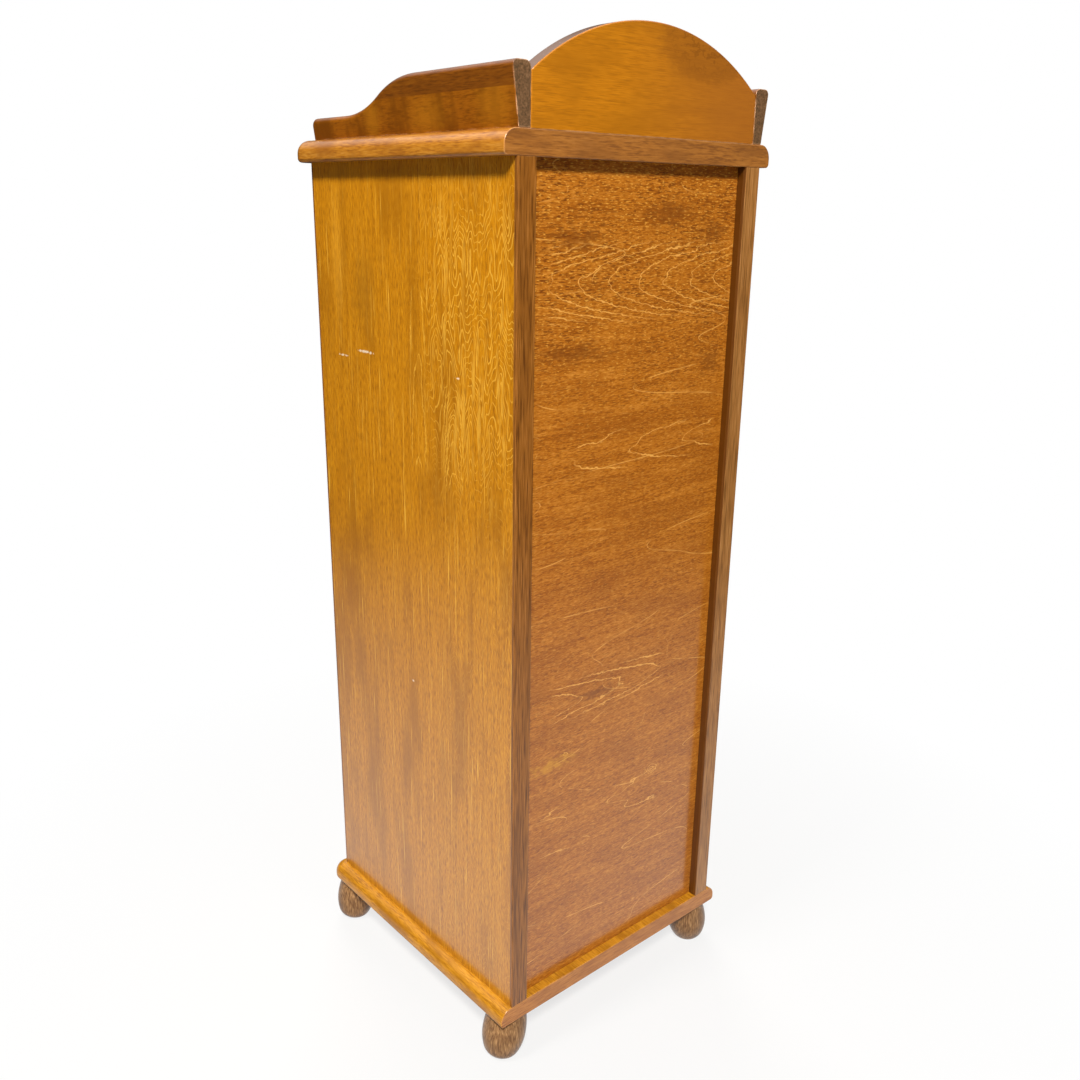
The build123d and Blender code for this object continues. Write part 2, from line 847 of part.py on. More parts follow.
def strike_screw(clearance=0.0):
    """The screw that holds the strike plate on the back of the door."""
    return wood_screw((catch_x, strike_rear_y, catch_middle_z), (0, -1, 0), screw_grip, clearance)


def strike_plate():
    """The steel plate on the door that the magnet holds."""
    plate = slab(
        (catch_x - strike_width / 2, catch_x + strike_width / 2),
        (front_back_y, strike_rear_y),
        (catch_middle_z - strike_height / 2, catch_middle_z + strike_height / 2),
    )
    return plate - strike_screw(bore_gap)


def all_nodes():
    """Every sub-part by the name of its file."""
    nodes = {
        "base_board": base_board(),
        "top_board": top_board(),
        "back_panel": back_panel(),
        "divider_board": divider(),
        "shelf": shelf(),
        "shelf_pins": group(shelf_pins()),
        "carcass_dowels": group(carcass_dowels()),
        "divider_dowels": group(divider_dowels()),
        "gallery_dowels": group(gallery_dowels()),
        "drawer_kickers": group(drawer_kickers()),
        "drawer_stops": group(drawer_stops()),
        "gallery_back": gallery_back(),
        "drawer_front": drawer_front(),
        "drawer_back": drawer_back(),
        "drawer_bottom": drawer_bottom(),
        "drawer_knob": placed_knob(0, drawer_knob_z),
        "drawer_knob_screw": knob_screw(0, drawer_knob_z),
        "door_hinge_stile": door_stile(-1),
        "door_latch_stile": door_stile(1),
        "door_panel": door_panel(),
        **door_rails(),
        "door_knob": placed_knob(door_knob_x, door_knob_z),
        "door_knob_screw": knob_screw(door_knob_x, door_knob_z),
        "hinge_pins": group(hinge_pins()),
        "hinge_side_screws": group(hinge_screws(-1)),
        "hinge_door_screws": group(hinge_screws(1)),
        "catch_housing": catch_housing(),
        "catch_magnet": magnet(),
        "catch_screws": group(catch_screws()),
        "strike_plate": strike_plate(),
        "strike_screw": strike_screw(),
    }
    for hand, side in (("left", -1), ("right", 1)):
        nodes[f"side_panel_{hand}"] = side_panel(side)
        nodes[f"front_lipping_{hand}"] = front_lipping(side)
        nodes[f"rear_lipping_{hand}"] = rear_lipping(side)
        nodes[f"gallery_rail_{hand}"] = gallery_rail(side)
        nodes[f"drawer_side_{hand}"] = drawer_side(side)
    for end, centre_z in hinge_centres.items():
        nodes[f"hinge_{end}_side_leaf"] = hinge_leaf(-1, centre_z)
        nodes[f"hinge_{end}_door_leaf"] = hinge_leaf(1, centre_z)
    for place, (side, y) in foot_places().items():
        nodes[f"foot_{place}"] = turned_foot(side, y)
    nodes["foot_bolts"] = group(foot_bolt(side, y) for side, y in foot_places().values())
    return nodes


os.makedirs("parts", exist_ok=True)
for name, shape in all_nodes().items():
    export_step(shape, f"parts/{name}.step")
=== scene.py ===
# %% [markdown]
# # A telephone stand, dressed for its picture
# The stand is a tall cupboard of stained birch on four turned feet. Its joints and sizes are
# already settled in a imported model, so this lesson only gives it its looks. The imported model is
# loaded first. It is the frame that every later piece is fitted to.

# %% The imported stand
from math import cos, pi, radians, sin

import bmesh
import bpy
import numpy as np
from mathutils import Matrix, Vector


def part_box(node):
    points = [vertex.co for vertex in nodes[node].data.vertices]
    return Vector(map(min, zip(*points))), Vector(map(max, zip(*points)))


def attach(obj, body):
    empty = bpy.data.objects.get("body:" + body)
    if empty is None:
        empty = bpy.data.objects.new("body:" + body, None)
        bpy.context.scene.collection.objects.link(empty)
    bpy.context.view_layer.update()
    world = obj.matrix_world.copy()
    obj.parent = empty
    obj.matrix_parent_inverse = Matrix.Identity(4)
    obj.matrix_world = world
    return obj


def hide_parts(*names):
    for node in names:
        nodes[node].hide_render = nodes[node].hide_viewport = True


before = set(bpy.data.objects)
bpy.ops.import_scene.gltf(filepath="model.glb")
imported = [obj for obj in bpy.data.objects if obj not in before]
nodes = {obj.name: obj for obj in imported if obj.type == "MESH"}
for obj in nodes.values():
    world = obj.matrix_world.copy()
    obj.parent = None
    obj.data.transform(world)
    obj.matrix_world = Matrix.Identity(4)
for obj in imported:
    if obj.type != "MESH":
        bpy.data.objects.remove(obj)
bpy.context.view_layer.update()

MM = 0.001
print("packed nodes:", len(nodes))

# %% [markdown]
# ## Camera
# The picture looks at the rear and the right-hand side of the stand, from a little above its
# middle. A camera can be set by eye, or worked out from the edges of the box in the picture.
# These numbers were worked out, because a box shows at once where its edges miss.

# %% A camera at the picture's viewing angle
CAMERA_PLACE = Vector((627.2, 751.6, 763.4)) * MM
CAMERA_AZIMUTH, CAMERA_ELEVATION, CAMERA_ROLL = 138.93, 17.95, 0.83
FOCAL_LENGTH_MM, SENSOR_MM = 34.7, 36.0


def camera_turn(azimuth, elevation, roll):
    """The camera's axes as columns: right, up and back. Azimuth 0 looks along +Y."""
    a, e, r = radians(azimuth), radians(elevation), radians(roll)
    back = Vector((sin(a) * cos(e), -cos(a) * cos(e), sin(e)))
    right = Vector((0, 0, 1)).cross(back).normalized()
    up = back.cross(right)
    turned_right = right * cos(r) + up * sin(r)
    turned_up = up * cos(r) - right * sin(r)
    return Matrix((turned_right, turned_up, back)).transposed()


camera = bpy.data.objects.new("camera", bpy.data.cameras.new("camera"))
camera.data.lens, camera.data.sensor_width = FOCAL_LENGTH_MM, SENSOR_MM
turn = camera_turn(CAMERA_AZIMUTH, CAMERA_ELEVATION, CAMERA_ROLL)
camera.matrix_world = Matrix.Translation(CAMERA_PLACE) @ turn.to_4x4()
bpy.context.scene.collection.objects.link(camera)
bpy.context.scene.camera = camera
bpy.context.scene.view_settings.view_transform = "Standard"
print("camera at", [round(x, 3) for x in camera.location])

# %% [markdown]
# ## Node helper and colours
# Every finish below is a net of shader nodes. One small function adds a node, sets its options
# and makes its links, so that a finish reads as a list of what feeds what. Colours are written as
# the sRGB hex values that one would pick from a screen, and Blender counts in linear light, so a
# second function turns one into the other.

# %% Functions that add a node, empty a tree and read a colour


def add(tree, kind, inputs=None, **settings):
    """Adds a node. An input takes a value, a socket, or a node, whose first output is used."""
    made = tree.nodes.new(kind)
    for name, value in settings.items():
        setattr(made, name, value)
    for name, value in (inputs or {}).items():
        if isinstance(value, bpy.types.Node):
            value = value.outputs[0]
        if isinstance(value, bpy.types.NodeSocket):
            tree.links.new(value, made.inputs[name])
        else:
            made.inputs[name].default_value = value
    return made


def emptied(block):
    """The node tree of a new material or world, without the nodes that Blender puts in it."""
    block.use_nodes = True
    block.node_tree.nodes.clear()
    return block.node_tree


def linear(colour):
    """An sRGB hex colour in linear light.

    Up to 0.04045 a share c gives c / 12.92, and above it ((c + 0.055) / 1.055) ^ 2.4.
    """
    share = np.array([int(colour[i : i + 2], 16) for i in (1, 3, 5)]) / 255
    light = np.where(share <= 0.04045, share / 12.92, ((share + 0.055) / 1.055) ** 2.4)
    return (*light.tolist(), 1.0)


WHITE = linear("#ffffff")
print("mid grey #808080 is", round(linear("#808080")[0], 4), "in linear light")

# %% [markdown]
# ## Studio
# In the picture the overhanging boards throw a dark band, one and a half times as deep as they
# overhang, and it slants off at the rear corner. So the main lamp stands behind the camera and
# high above it, and a smaller one lights the side from above. A large dim one fills the front.
# The lacquer mirrors a bright ceiling in the boards' upper rounds, and the pale floor near the
# stand, which makes the lower half look milky. Is Glossy Ray gives both to mirror rays only, and
# Is Camera Ray makes the background white without more light on the wood. The floor keeps the
# stand's shadow, and turns to plain white away from it.

# %% Floor, world and lamps
FLOOR_RADIUS = 1.7
SHADOW_NEAR, SHADOW_REACH, WHITE_NEAR = 0.2, 0.75, 0.75
SHEEN_NEAR, SHEEN_FAR, FLOOR_SHEEN = 0.3, 1.6, 0.88
ROOM_LIGHT = 0.13
CEILING_FROM, CEILING_TO, WALL_SHEEN, CEILING_SHEEN = 0.35, 0.75, 0.01, 1.7
AIM = Vector((0, 0, 0.45))
LAMPS = {  # power in W, size in m, place in m, seen in mirror rays
    "key_lamp": (165.0, 0.45, (1.5, 1.88, 2.7), True),
    "side_lamp": (50.0, 0.5, (1.94, 0.0, 3.36), True),
    "front_fill": (62.0, 1.6, (-1.2, -2.3, 1.9), False),
}


def studio_floor():
    """A round floor: angle x radius, on the plane at height 0."""
    turns = np.linspace(0, 2 * pi, 97)[:-1]
    rim = np.stack([np.cos(turns), np.sin(turns), np.zeros_like(turns)], -1) * FLOOR_RADIUS
    mesh = bpy.data.meshes.new("floor")
    mesh.from_pydata(rim.tolist(), [], [list(range(len(rim)))])
    return bpy.data.objects.new("floor", mesh)


def floor_finish():
    """Painted board: matt and pale, white to the camera, and fading outwards in mirror rays."""
    material = bpy.data.materials.new("pale_painted_floor")
    tree = emptied(material)
    ray = add(tree, "ShaderNodeLightPath")
    place = add(tree, "ShaderNodeTexCoord")
    away = add(tree, "ShaderNodeVectorMath", {0: place.outputs["Object"]}, operation="LENGTH")
    out = away.outputs["Value"]
    plain_steps = {0: out, 1: SHADOW_NEAR, 2: SHADOW_REACH, 3: WHITE_NEAR, 4: 1.0}
    plain = add(tree, "ShaderNodeMapRange", plain_steps)
    sheen_steps = {0: out, 1: SHEEN_NEAR, 2: SHEEN_FAR, 3: FLOOR_SHEEN, 4: 0.0}
    sheen = add(tree, "ShaderNodeMapRange", sheen_steps)
    paint = add(tree, "ShaderNodeBsdfDiffuse", {"Color": linear("#c6c4c0")})
    white = add(tree, "ShaderNodeEmission", {"Color": WHITE, "Strength": 1.0})
    mirrored = add(tree, "ShaderNodeEmission", {"Color": WHITE, "Strength": sheen})
    camera_ray = ray.outputs["Is Camera Ray"]
    share = add(tree, "ShaderNodeMath", {0: camera_ray, 1: plain}, operation="MULTIPLY")
    seen = add(tree, "ShaderNodeMixShader", {0: share, 1: paint, 2: white})
    both = add(
        tree, "ShaderNodeMixShader", {0: ray.outputs["Is Glossy Ray"], 1: seen, 2: mirrored}
    )
    add(tree, "ShaderNodeOutputMaterial", {"Surface": both})
    return material


def studio_world():
    """White to the camera, a plain grey light to the wood, and a bright ceiling in mirror rays."""
    world = bpy.data.worlds.new("studio")
    tree = emptied(world)
    ray = add(tree, "ShaderNodeLightPath")
    place = add(tree, "ShaderNodeTexCoord")
    height = add(tree, "ShaderNodeSeparateXYZ", {0: place.outputs["Generated"]}).outputs["Z"]
    steps = {0: height, 1: CEILING_FROM, 2: CEILING_TO, 3: WALL_SHEEN, 4: CEILING_SHEEN}
    above = add(tree, "ShaderNodeMapRange", steps)
    room, mirrored, white = (
        add(tree, "ShaderNodeBackground", {"Color": WHITE, "Strength": strength})
        for strength in (ROOM_LIGHT, above, 1.0)
    )
    first = add(
        tree, "ShaderNodeMixShader", {0: ray.outputs["Is Glossy Ray"], 1: room, 2: mirrored}
    )
    second = add(
        tree, "ShaderNodeMixShader", {0: ray.outputs["Is Camera Ray"], 1: first, 2: white}
    )
    add(tree, "ShaderNodeOutputWorld", {"Surface": second})
    return world


floor = studio_floor()
floor.data.materials.append(floor_finish())
bpy.context.scene.collection.objects.link(floor)
bpy.context.scene.world = studio_world()
for name, (power, size, place, mirrored) in LAMPS.items():
    lamp = bpy.data.lights.new(name, "AREA")
    lamp.energy, lamp.size = power, size
    softbox = bpy.data.objects.new(name, lamp)
    softbox.location = place
    softbox.rotation_euler = (AIM - softbox.location).to_track_quat("-Z", "Y").to_euler()
    softbox.visible_glossy = mirrored
    bpy.context.scene.collection.objects.link(softbox)
print("floor radius", FLOOR_RADIUS, "m, lamps:", ", ".join(LAMPS))

# %% [markdown]
# ## Grain space
# Wood looks different along, across and into the grain, so each finish first turns Blender's
# object coordinates into its own, in millimetres: along the grain, across it on the face that
# shows, and into the board. All patterns are then the same for every board, whichever way it
# runs, and a size in them is a real size. Patterns could be laid on by unwrapping every piece.
# Object coordinates need no unwrapping and no seam, so they are used here. Two helpers do most of
# the work that follows. One makes a mask out of eased steps, and the other lays a tone over a
# colour where a mask says so.

# %% Coordinates, streaks, masks and tones


def start_finish(name, order):
    """A new material and its space in mm. order names the axes along, across and into the board."""
    material = bpy.data.materials.new(name)
    tree = emptied(material)
    place = add(tree, "ShaderNodeTexCoord").outputs["Object"]
    in_mm = add(tree, "ShaderNodeVectorMath", {0: place, 1: (1 / MM,) * 3}, operation="MULTIPLY")
    axes = add(tree, "ShaderNodeSeparateXYZ", {0: in_mm}).outputs
    space = add(tree, "ShaderNodeCombineXYZ", {i: axes[axis] for i, axis in enumerate(order)})
    return material, tree, space


def streaks(tree, space, length, width, detail=2.0, shift=0.0):
    """Noise whose cells are length mm along the grain and width mm across it, from 0 to 1."""
    cells = {
        "Vector": space,
        "Location": (shift, shift, shift),
        "Scale": (1 / length, 1 / width, 1 / width),
    }
    mapped = add(tree, "ShaderNodeMapping", cells)
    return add(tree, "ShaderNodeTexNoise", {"Vector": mapped, "Scale": 1.0, "Detail": detail})


def eased(tree, *steps):
    """The product of steps, (value, low, high, to_low, to_high), level outside low and high."""
    product = None
    for step in steps:
        one = add(
            tree,
            "ShaderNodeMapRange",
            dict(enumerate(step)),
            interpolation_type="SMOOTHSTEP",
        )
        pair = {0: product, 1: one}
        product = add(tree, "ShaderNodeMath", pair, operation="MULTIPLY") if product else one
    return product


def painted(tree, base, tone, mask, strength=1.0):
    """base under a tone that is laid on where the mask is 1. Both are hex colours or sockets."""
    share = add(tree, "ShaderNodeMath", {0: mask, 1: strength}, operation="MULTIPLY")
    under, over = (linear(c) if isinstance(c, str) else c for c in (base, tone))
    mixed = add(tree, "ShaderNodeMix", {0: share, 6: under, 7: over}, data_type="RGBA")
    return mixed.outputs[2]


print("spaces, streaks, masks and tones are ready")

# %% [markdown]
# ## Growth lines
# A log is peeled or sliced into veneer at a slight slant to its rings, and each ring then shows
# as a nested flame. The lines of a flame all follow one formula: the distance along the grain,
# plus the distance from the flame's middle raised to a power, is a whole number of pitches. Where
# the rings are wavy, the power is replaced by a stretched noise, and the lines become close
# zigzags. Knots are rings about one point. Blender's own wood texture has rings too, but it can't
# be told where each group of flames sits in the picture, and a formula can. A growth line is 0.1
# mm wide or less. The lines here are 0.4 to 0.5 mm to each side, because a pixel of the picture
# is 0.8 mm.

# %% Flames, zigzags and knots


def ruled(tree, level, slope, pitch, line):
    """A line wherever level mm is a whole number of pitches, and line mm wide to each side.

    Where the lines slant, their distance is divided by sqrt(1 + slope^2), which keeps their width.
    """
    near = add(tree, "ShaderNodeMath", {0: level, 1: pitch / 2}, operation="PINGPONG")
    steep = add(tree, "ShaderNodeMath", {0: slope, 1: slope, 2: 1.0}, operation="MULTIPLY_ADD")
    factor = add(tree, "ShaderNodeMath", {0: steep}, operation="SQRT")
    distance = add(tree, "ShaderNodeMath", {0: near, 1: factor}, operation="DIVIDE")
    return eased(tree, (distance, line * 0.3, line * 1.5, 1.0, 0.0))


def flames(tree, space, middle, pitch, spread, width, reach, power=2.0, line=0.5):
    """Nested lines: a line wherever (along + spread x |across - middle| ^ power) / pitch is whole.

    Sizes are in mm. A positive spread opens the flames towards lower values along the grain. The
    lines fade beyond width mm from the middle and outside reach along the grain.
    """
    along, across, _ = add(tree, "ShaderNodeSeparateXYZ", {0: space}).outputs
    wobble = streaks(tree, space, 34, 10, detail=1.0, shift=pitch)
    slow = eased(tree, (wobble, 0.2, 0.8, -1.2, 1.2))
    quick = eased(tree, (streaks(tree, space, 5, 3, detail=1.0), 0.2, 0.8, -0.8, 0.8))
    shake = add(tree, "ShaderNodeMath", {0: slow, 1: quick}, operation="ADD")
    off = add(tree, "ShaderNodeMath", {0: across, 1: middle}, operation="SUBTRACT")
    shaken = add(tree, "ShaderNodeMath", {0: off, 1: shake}, operation="ADD")
    away = add(tree, "ShaderNodeMath", {0: shaken}, operation="ABSOLUTE")
    bend = add(tree, "ShaderNodeMath", {0: away, 1: power}, operation="POWER")
    level = add(tree, "ShaderNodeMath", {0: bend, 1: spread, 2: along}, operation="MULTIPLY_ADD")
    drift = add(tree, "ShaderNodeMath", {0: slow, 1: pitch / 8, 2: level}, operation="MULTIPLY_ADD")
    flat = add(tree, "ShaderNodeMath", {0: away, 1: power - 1}, operation="POWER")
    slope = add(tree, "ShaderNodeMath", {0: flat, 1: spread * power}, operation="MULTIPLY")
    place = eased(
        tree,
        (away, width * 0.75, width, 1.0, 0.0),
        (along, reach[0], reach[0] + 12, 0.0, 1.0),
        (along, reach[1] - 12, reach[1], 1.0, 0.0),
        (streaks(tree, space, 16, 5, detail=2.0, shift=4), 0.3, 0.55, 0.6, 1.0),
    )
    lines = ruled(tree, drift, slope, pitch, line)
    return add(tree, "ShaderNodeMath", {0: lines, 1: place}, operation="MULTIPLY")


def zigzags(tree, space, pitch, height, length, width, shift, line=0.5):
    """Zigzag lines: a line wherever (along + height x noise) / pitch is whole.

    Sizes are in mm, and the noise's cells are length x width. The slope of a line is the change of
    height x noise over 1 mm across.
    """
    along = add(tree, "ShaderNodeSeparateXYZ", {0: space}).outputs[0]
    beside = add(tree, "ShaderNodeVectorMath", {0: space, 1: (0.0, 1.0, 0.0)}, operation="ADD")
    here = streaks(tree, space, length, width, detail=1.0, shift=shift)
    there = streaks(tree, beside, length, width, detail=1.0, shift=shift)
    change = add(tree, "ShaderNodeMath", {0: there, 1: here}, operation="SUBTRACT")
    slope = add(tree, "ShaderNodeMath", {0: change, 1: height}, operation="MULTIPLY")
    level = add(tree, "ShaderNodeMath", {0: here, 1: height, 2: along}, operation="MULTIPLY_ADD")
    return ruled(tree, level, slope, pitch, line)


def spot(tree, space, middle, size, edge=0.9, rough=0.6):
    """A patch: 1 at its middle and 0 beyond size mm along and across, with a ragged edge."""
    local = {
        "Vector": space,
        "Location": (-middle[0] / size[0], -middle[1] / size[1], 0.0),
        "Scale": (1 / size[0], 1 / size[1], 0.0),
    }
    mapped = add(tree, "ShaderNodeMapping", local)
    away = add(tree, "ShaderNodeVectorMath", {0: mapped}, operation="LENGTH").outputs["Value"]
    ragged = eased(tree, (streaks(tree, space, 7, 3, detail=3.0), 0.2, 0.8, -rough, rough))
    shaken = add(tree, "ShaderNodeMath", {0: away, 1: ragged}, operation="ADD")
    return eased(tree, (shaken, 1 - edge, 1, 1.0, 0.0))


def knot(tree, space, middle, size, pitch):
    """Flattened rings round one point, pitch mm apart, which fade out size mm from it."""
    flattened = 1.6
    local = {
        "Vector": space,
        "Location": (-middle[0], -middle[1] * flattened, 0.0),
        "Scale": (1.0, flattened, 0.0),
    }
    mapped = add(tree, "ShaderNodeMapping", local)
    away = add(tree, "ShaderNodeVectorMath", {0: mapped}, operation="LENGTH").outputs["Value"]
    wobble = streaks(tree, space, 6, 4, detail=2.0, shift=size)
    shake = eased(tree, (wobble, 0.2, 0.8, -pitch / 2, pitch / 2))
    shaken = add(tree, "ShaderNodeMath", {0: away, 1: shake}, operation="ADD")
    near = add(tree, "ShaderNodeMath", {0: shaken, 1: pitch / 2}, operation="PINGPONG")
    return eased(tree, (near, 0.0, 0.22 * pitch, 1.0, 0.0), (away, size * 0.4, size, 1.0, 0.0))


def strongest(tree, *masks):
    """The highest of several masks."""
    top = masks[0]
    for mask in masks[1:]:
        top = add(tree, "ShaderNodeMath", {0: top, 1: mask}, operation="MAXIMUM")
    return top


print("flames, zigzags and knots are ready")

# %% [markdown]
# ## Stain, wear and lacquer
# The stand is birch under a brown stain and a satin lacquer. Stain sinks deeper into loose
# fibres, so the fibres show as fine dark and light streaks, and cloudy patches lie over them. On
# an arris the stain is sanded thin and the pale wood shows as a line. The lacquer is clear, half
# matt, and fills the fibres almost level, so only a faint relief is left. Birch and lacquer both
# have an index of refraction of about 1.5, so nearly all of the mirroring is at the lacquer's own
# surface. Birch's vessels are 0.1 mm wide, and a pixel of the picture is 0.8 mm, so the fibres
# are drawn 0.7 to 1.1 mm wide, as bundles of several.

# %% The three steps of every wooden finish
STREAK_SHARE = 0.45
DULL_STEP, BRIGHT_STEP, CLOUD_STEP = (0.52, 0.76), (0.71, 1.01), (0.44, 0.72)
ARRIS_FROM, ARRIS_TO = cos(radians(10)), cos(radians(31))


def stain(tree, space, tones, fibre, streak, cloud, depth, shift=0.0):
    """Stained fibres and streaks under soft clouds. Returns the colour and the relief.

    tones are the dark, middle and pale sRGB colours. fibre, streak and cloud are (length, width) in
    mm, and depth is how far the darkest clouds go towards the dark tone.
    """
    dark, middle, pale = tones
    fine = streaks(tree, space, *fibre, detail=3.0, shift=shift)
    wide = streaks(tree, space, *streak, detail=2.0, shift=shift + 5)
    both = {0: wide, 1: STREAK_SHARE, 2: fine}
    grain = add(tree, "ShaderNodeMath", both, operation="MULTIPLY_ADD")
    colour = painted(tree, dark, middle, eased(tree, (grain, *DULL_STEP, 0.0, 1.0)))
    colour = painted(tree, colour, pale, eased(tree, (grain, *BRIGHT_STEP, 0.0, 1.0)))
    clouds = streaks(tree, space, *cloud, detail=3.0, shift=shift + 9)
    return painted(tree, colour, dark, eased(tree, (clouds, *CLOUD_STEP, 0.0, depth))), fine


def sanded_arrises(tree, colour, pale, width=1.3, strength=0.8):
    """The pale line of an arris: where a rounded copy of the face turns away from the face."""
    rounded = add(tree, "ShaderNodeBevel", {"Radius": width * MM}, samples=4)
    face = add(tree, "ShaderNodeNewGeometry").outputs["Normal"]
    match = add(tree, "ShaderNodeVectorMath", {0: rounded, 1: face}, operation="DOT_PRODUCT")
    place = add(tree, "ShaderNodeTexCoord").outputs["Object"]
    patches = {"Vector": place, "Scale": 90.0, "Detail": 3.0}
    broken = add(tree, "ShaderNodeTexNoise", patches)
    turned = (match.outputs["Value"], ARRIS_FROM, ARRIS_TO, 0.0, strength)
    return painted(tree, colour, pale, eased(tree, turned, (broken, 0.35, 0.6, 0.0, 1.0)))


def lacquer(material, tree, colour, relief, sheen=0.36, coat=1.0, height=0.05):
    """Closes a wooden finish: satin wood under a clear coat, with height mm of relief as a bump."""
    bump = {"Height": relief, "Strength": 0.35, "Distance": height * MM}
    sockets = {
        "Base Color": colour,
        "Roughness": sheen,
        "IOR": 1.5,
        "Specular IOR Level": 0.15,
        "Normal": add(tree, "ShaderNodeBump", bump),
        "Coat Weight": coat,
        "Coat Roughness": 0.2,
        "Coat IOR": 1.5,
    }
    shader = add(tree, "ShaderNodeBsdfPrincipled", sockets)
    add(tree, "ShaderNodeOutputMaterial", {"Surface": shader})
    return material


print("stain, arrises and lacquer are ready")

# %% [markdown]
# ## Side panels
# The sides are sliced birch veneer with upright grain, stained a golden yellow, and plain brown
# inside. Where the inside shows in the recess round the back panel, it is darker still: painted
# shade. Towards the rear edge the near one has close zigzags, and in front of them a darker
# patch beside a lighter streak. It also has a few whitish scuffs, which are kept to this side by
# the sign of x. The figure could be painted by hand, but formulas stay sharp from any distance,
# and each one is moved and sized by a few lengths in millimetres.

# %% Golden birch veneer
PANEL_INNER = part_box("side_panel_right")[0].x / MM
BACK_PANEL_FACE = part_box("back_panel")[1].y / MM
SIDE_TONES = ("#945a06", "#b87508", "#cb8b14")
SCUFFS = (  # (height, y), (half height, half length), softness, raggedness
    ((635.5, -52), (1.3, 13), 0.6, 0.6),
    ((628.5, -90), (0.9, 10), 0.9, 0.8),
    ((629.5, 84), (1.0, 3.5), 0.8, 0.6),
    ((338, 10), (1.2, 1.6), 0.8, 0.4),
)


def golden_veneer():
    """Sliced birch veneer, stained and lacquered: a silky gold with fine pale figure."""
    material, tree, space = start_finish("golden_birch_veneer", "ZYX")
    up, back, out = add(tree, "ShaderNodeSeparateXYZ", {0: space}).outputs
    colour, relief = stain(tree, space, SIDE_TONES, (7, 0.9), (90, 3.0), (110, 30), 0.7)
    zone = eased(
        tree,
        (back, 20, 70, 0.12, 1.0),
        (up, 500, 620, 0.25, 1.0),
        (up, 740, 770, 1.0, 0.4),
        (streaks(tree, space, 22, 8, detail=2.0, shift=1), 0.35, 0.6, 0.3, 1.0),
    )
    close = zigzags(tree, space, pitch=9, height=110, length=60, width=12, shift=2)
    wavy = add(tree, "ShaderNodeMath", {0: close, 1: zone}, operation="MULTIPLY")
    loops = flames(
        tree, space, middle=78, pitch=24, spread=0.22, width=15, reach=(530, 625), power=2.2
    )
    tall = flames(
        tree, space, middle=28, pitch=80, spread=0.5, width=12, reach=(540, 700), power=2.2
    )
    hair_noise = streaks(tree, space, 60, 1.4, detail=1.0, shift=3)
    hairs = eased(tree, (hair_noise, 0.66, 0.76, 0.0, 1.0))
    colour = painted(tree, colour, "#e0a83a", strongest(tree, wavy, loops, tall, hairs), 0.75)
    olive = spot(tree, space, (685, -52), (50, 26), rough=0.3)
    colour = painted(tree, colour, "#8f5c10", olive, 0.5)
    bright = spot(tree, space, (715, -95), (85, 14), rough=0.3)
    colour = painted(tree, colour, "#dd9c2a", bright, 0.35)
    scuffs = strongest(tree, *(spot(tree, space, *scuff) for scuff in SCUFFS))
    colour = painted(tree, colour, "#ecdcc0", scuffs, eased(tree, (out, 0, 50, 0.0, 0.7)))
    far = add(tree, "ShaderNodeMath", {0: out}, operation="ABSOLUTE")
    inner = (far, PANEL_INNER + 2, PANEL_INNER + 1, 0.0, 1.0)
    colour = painted(tree, colour, "#965410", eased(tree, inner))
    # painted shade: the inner face in the recess behind the back panel is darkened further, to
    # #532b04
    recess_shade = (back, BACK_PANEL_FACE - 4, BACK_PANEL_FACE - 3, 0.0, 1.0)
    colour = painted(tree, colour, "#532b04", eased(tree, inner, recess_shade))
    return lacquer(material, tree, colour, relief)


side_finish = golden_veneer()
print("made", side_finish.name)

# %% [markdown]
# ## Back panel
# The back is a sheet of birch plywood let in between the sides. Its veneer was peeled off the
# log, so the grain runs across and the flames are wide. The stain is redder here, with short dark
# dashes and blotches where the knife tore the veneer a little, mostly near the top. Low down are
# two small knots, one of them in a golden patch. Each blotch and each group of flames is a row in
# a table, so that it can be moved until it sits as in the picture.

# %% Amber plywood
BACK_TONES = ("#8a4a0c", "#aa6416", "#c07c2c")
BLOTCHES = (  # (x, height), (half length, half height)
    ((66, 651), (48, 10)),
    ((-34, 757), (34, 14)),
    ((-88, 742), (26, 12)),
    ((-96, 632), (20, 15)),
    ((70, 738), (40, 12)),
    ((30, 346), (34, 7)),
)
FLAMES = (  # the height of each group's middle, its pitch, spread, half height, and reach in x
    (566, 72, 0.25, 18, (-110, 70)),
    (348, 50, -0.3, 20, (-60, 90)),
    (222, 172, 0.18, 27, (-60, 100)),
)


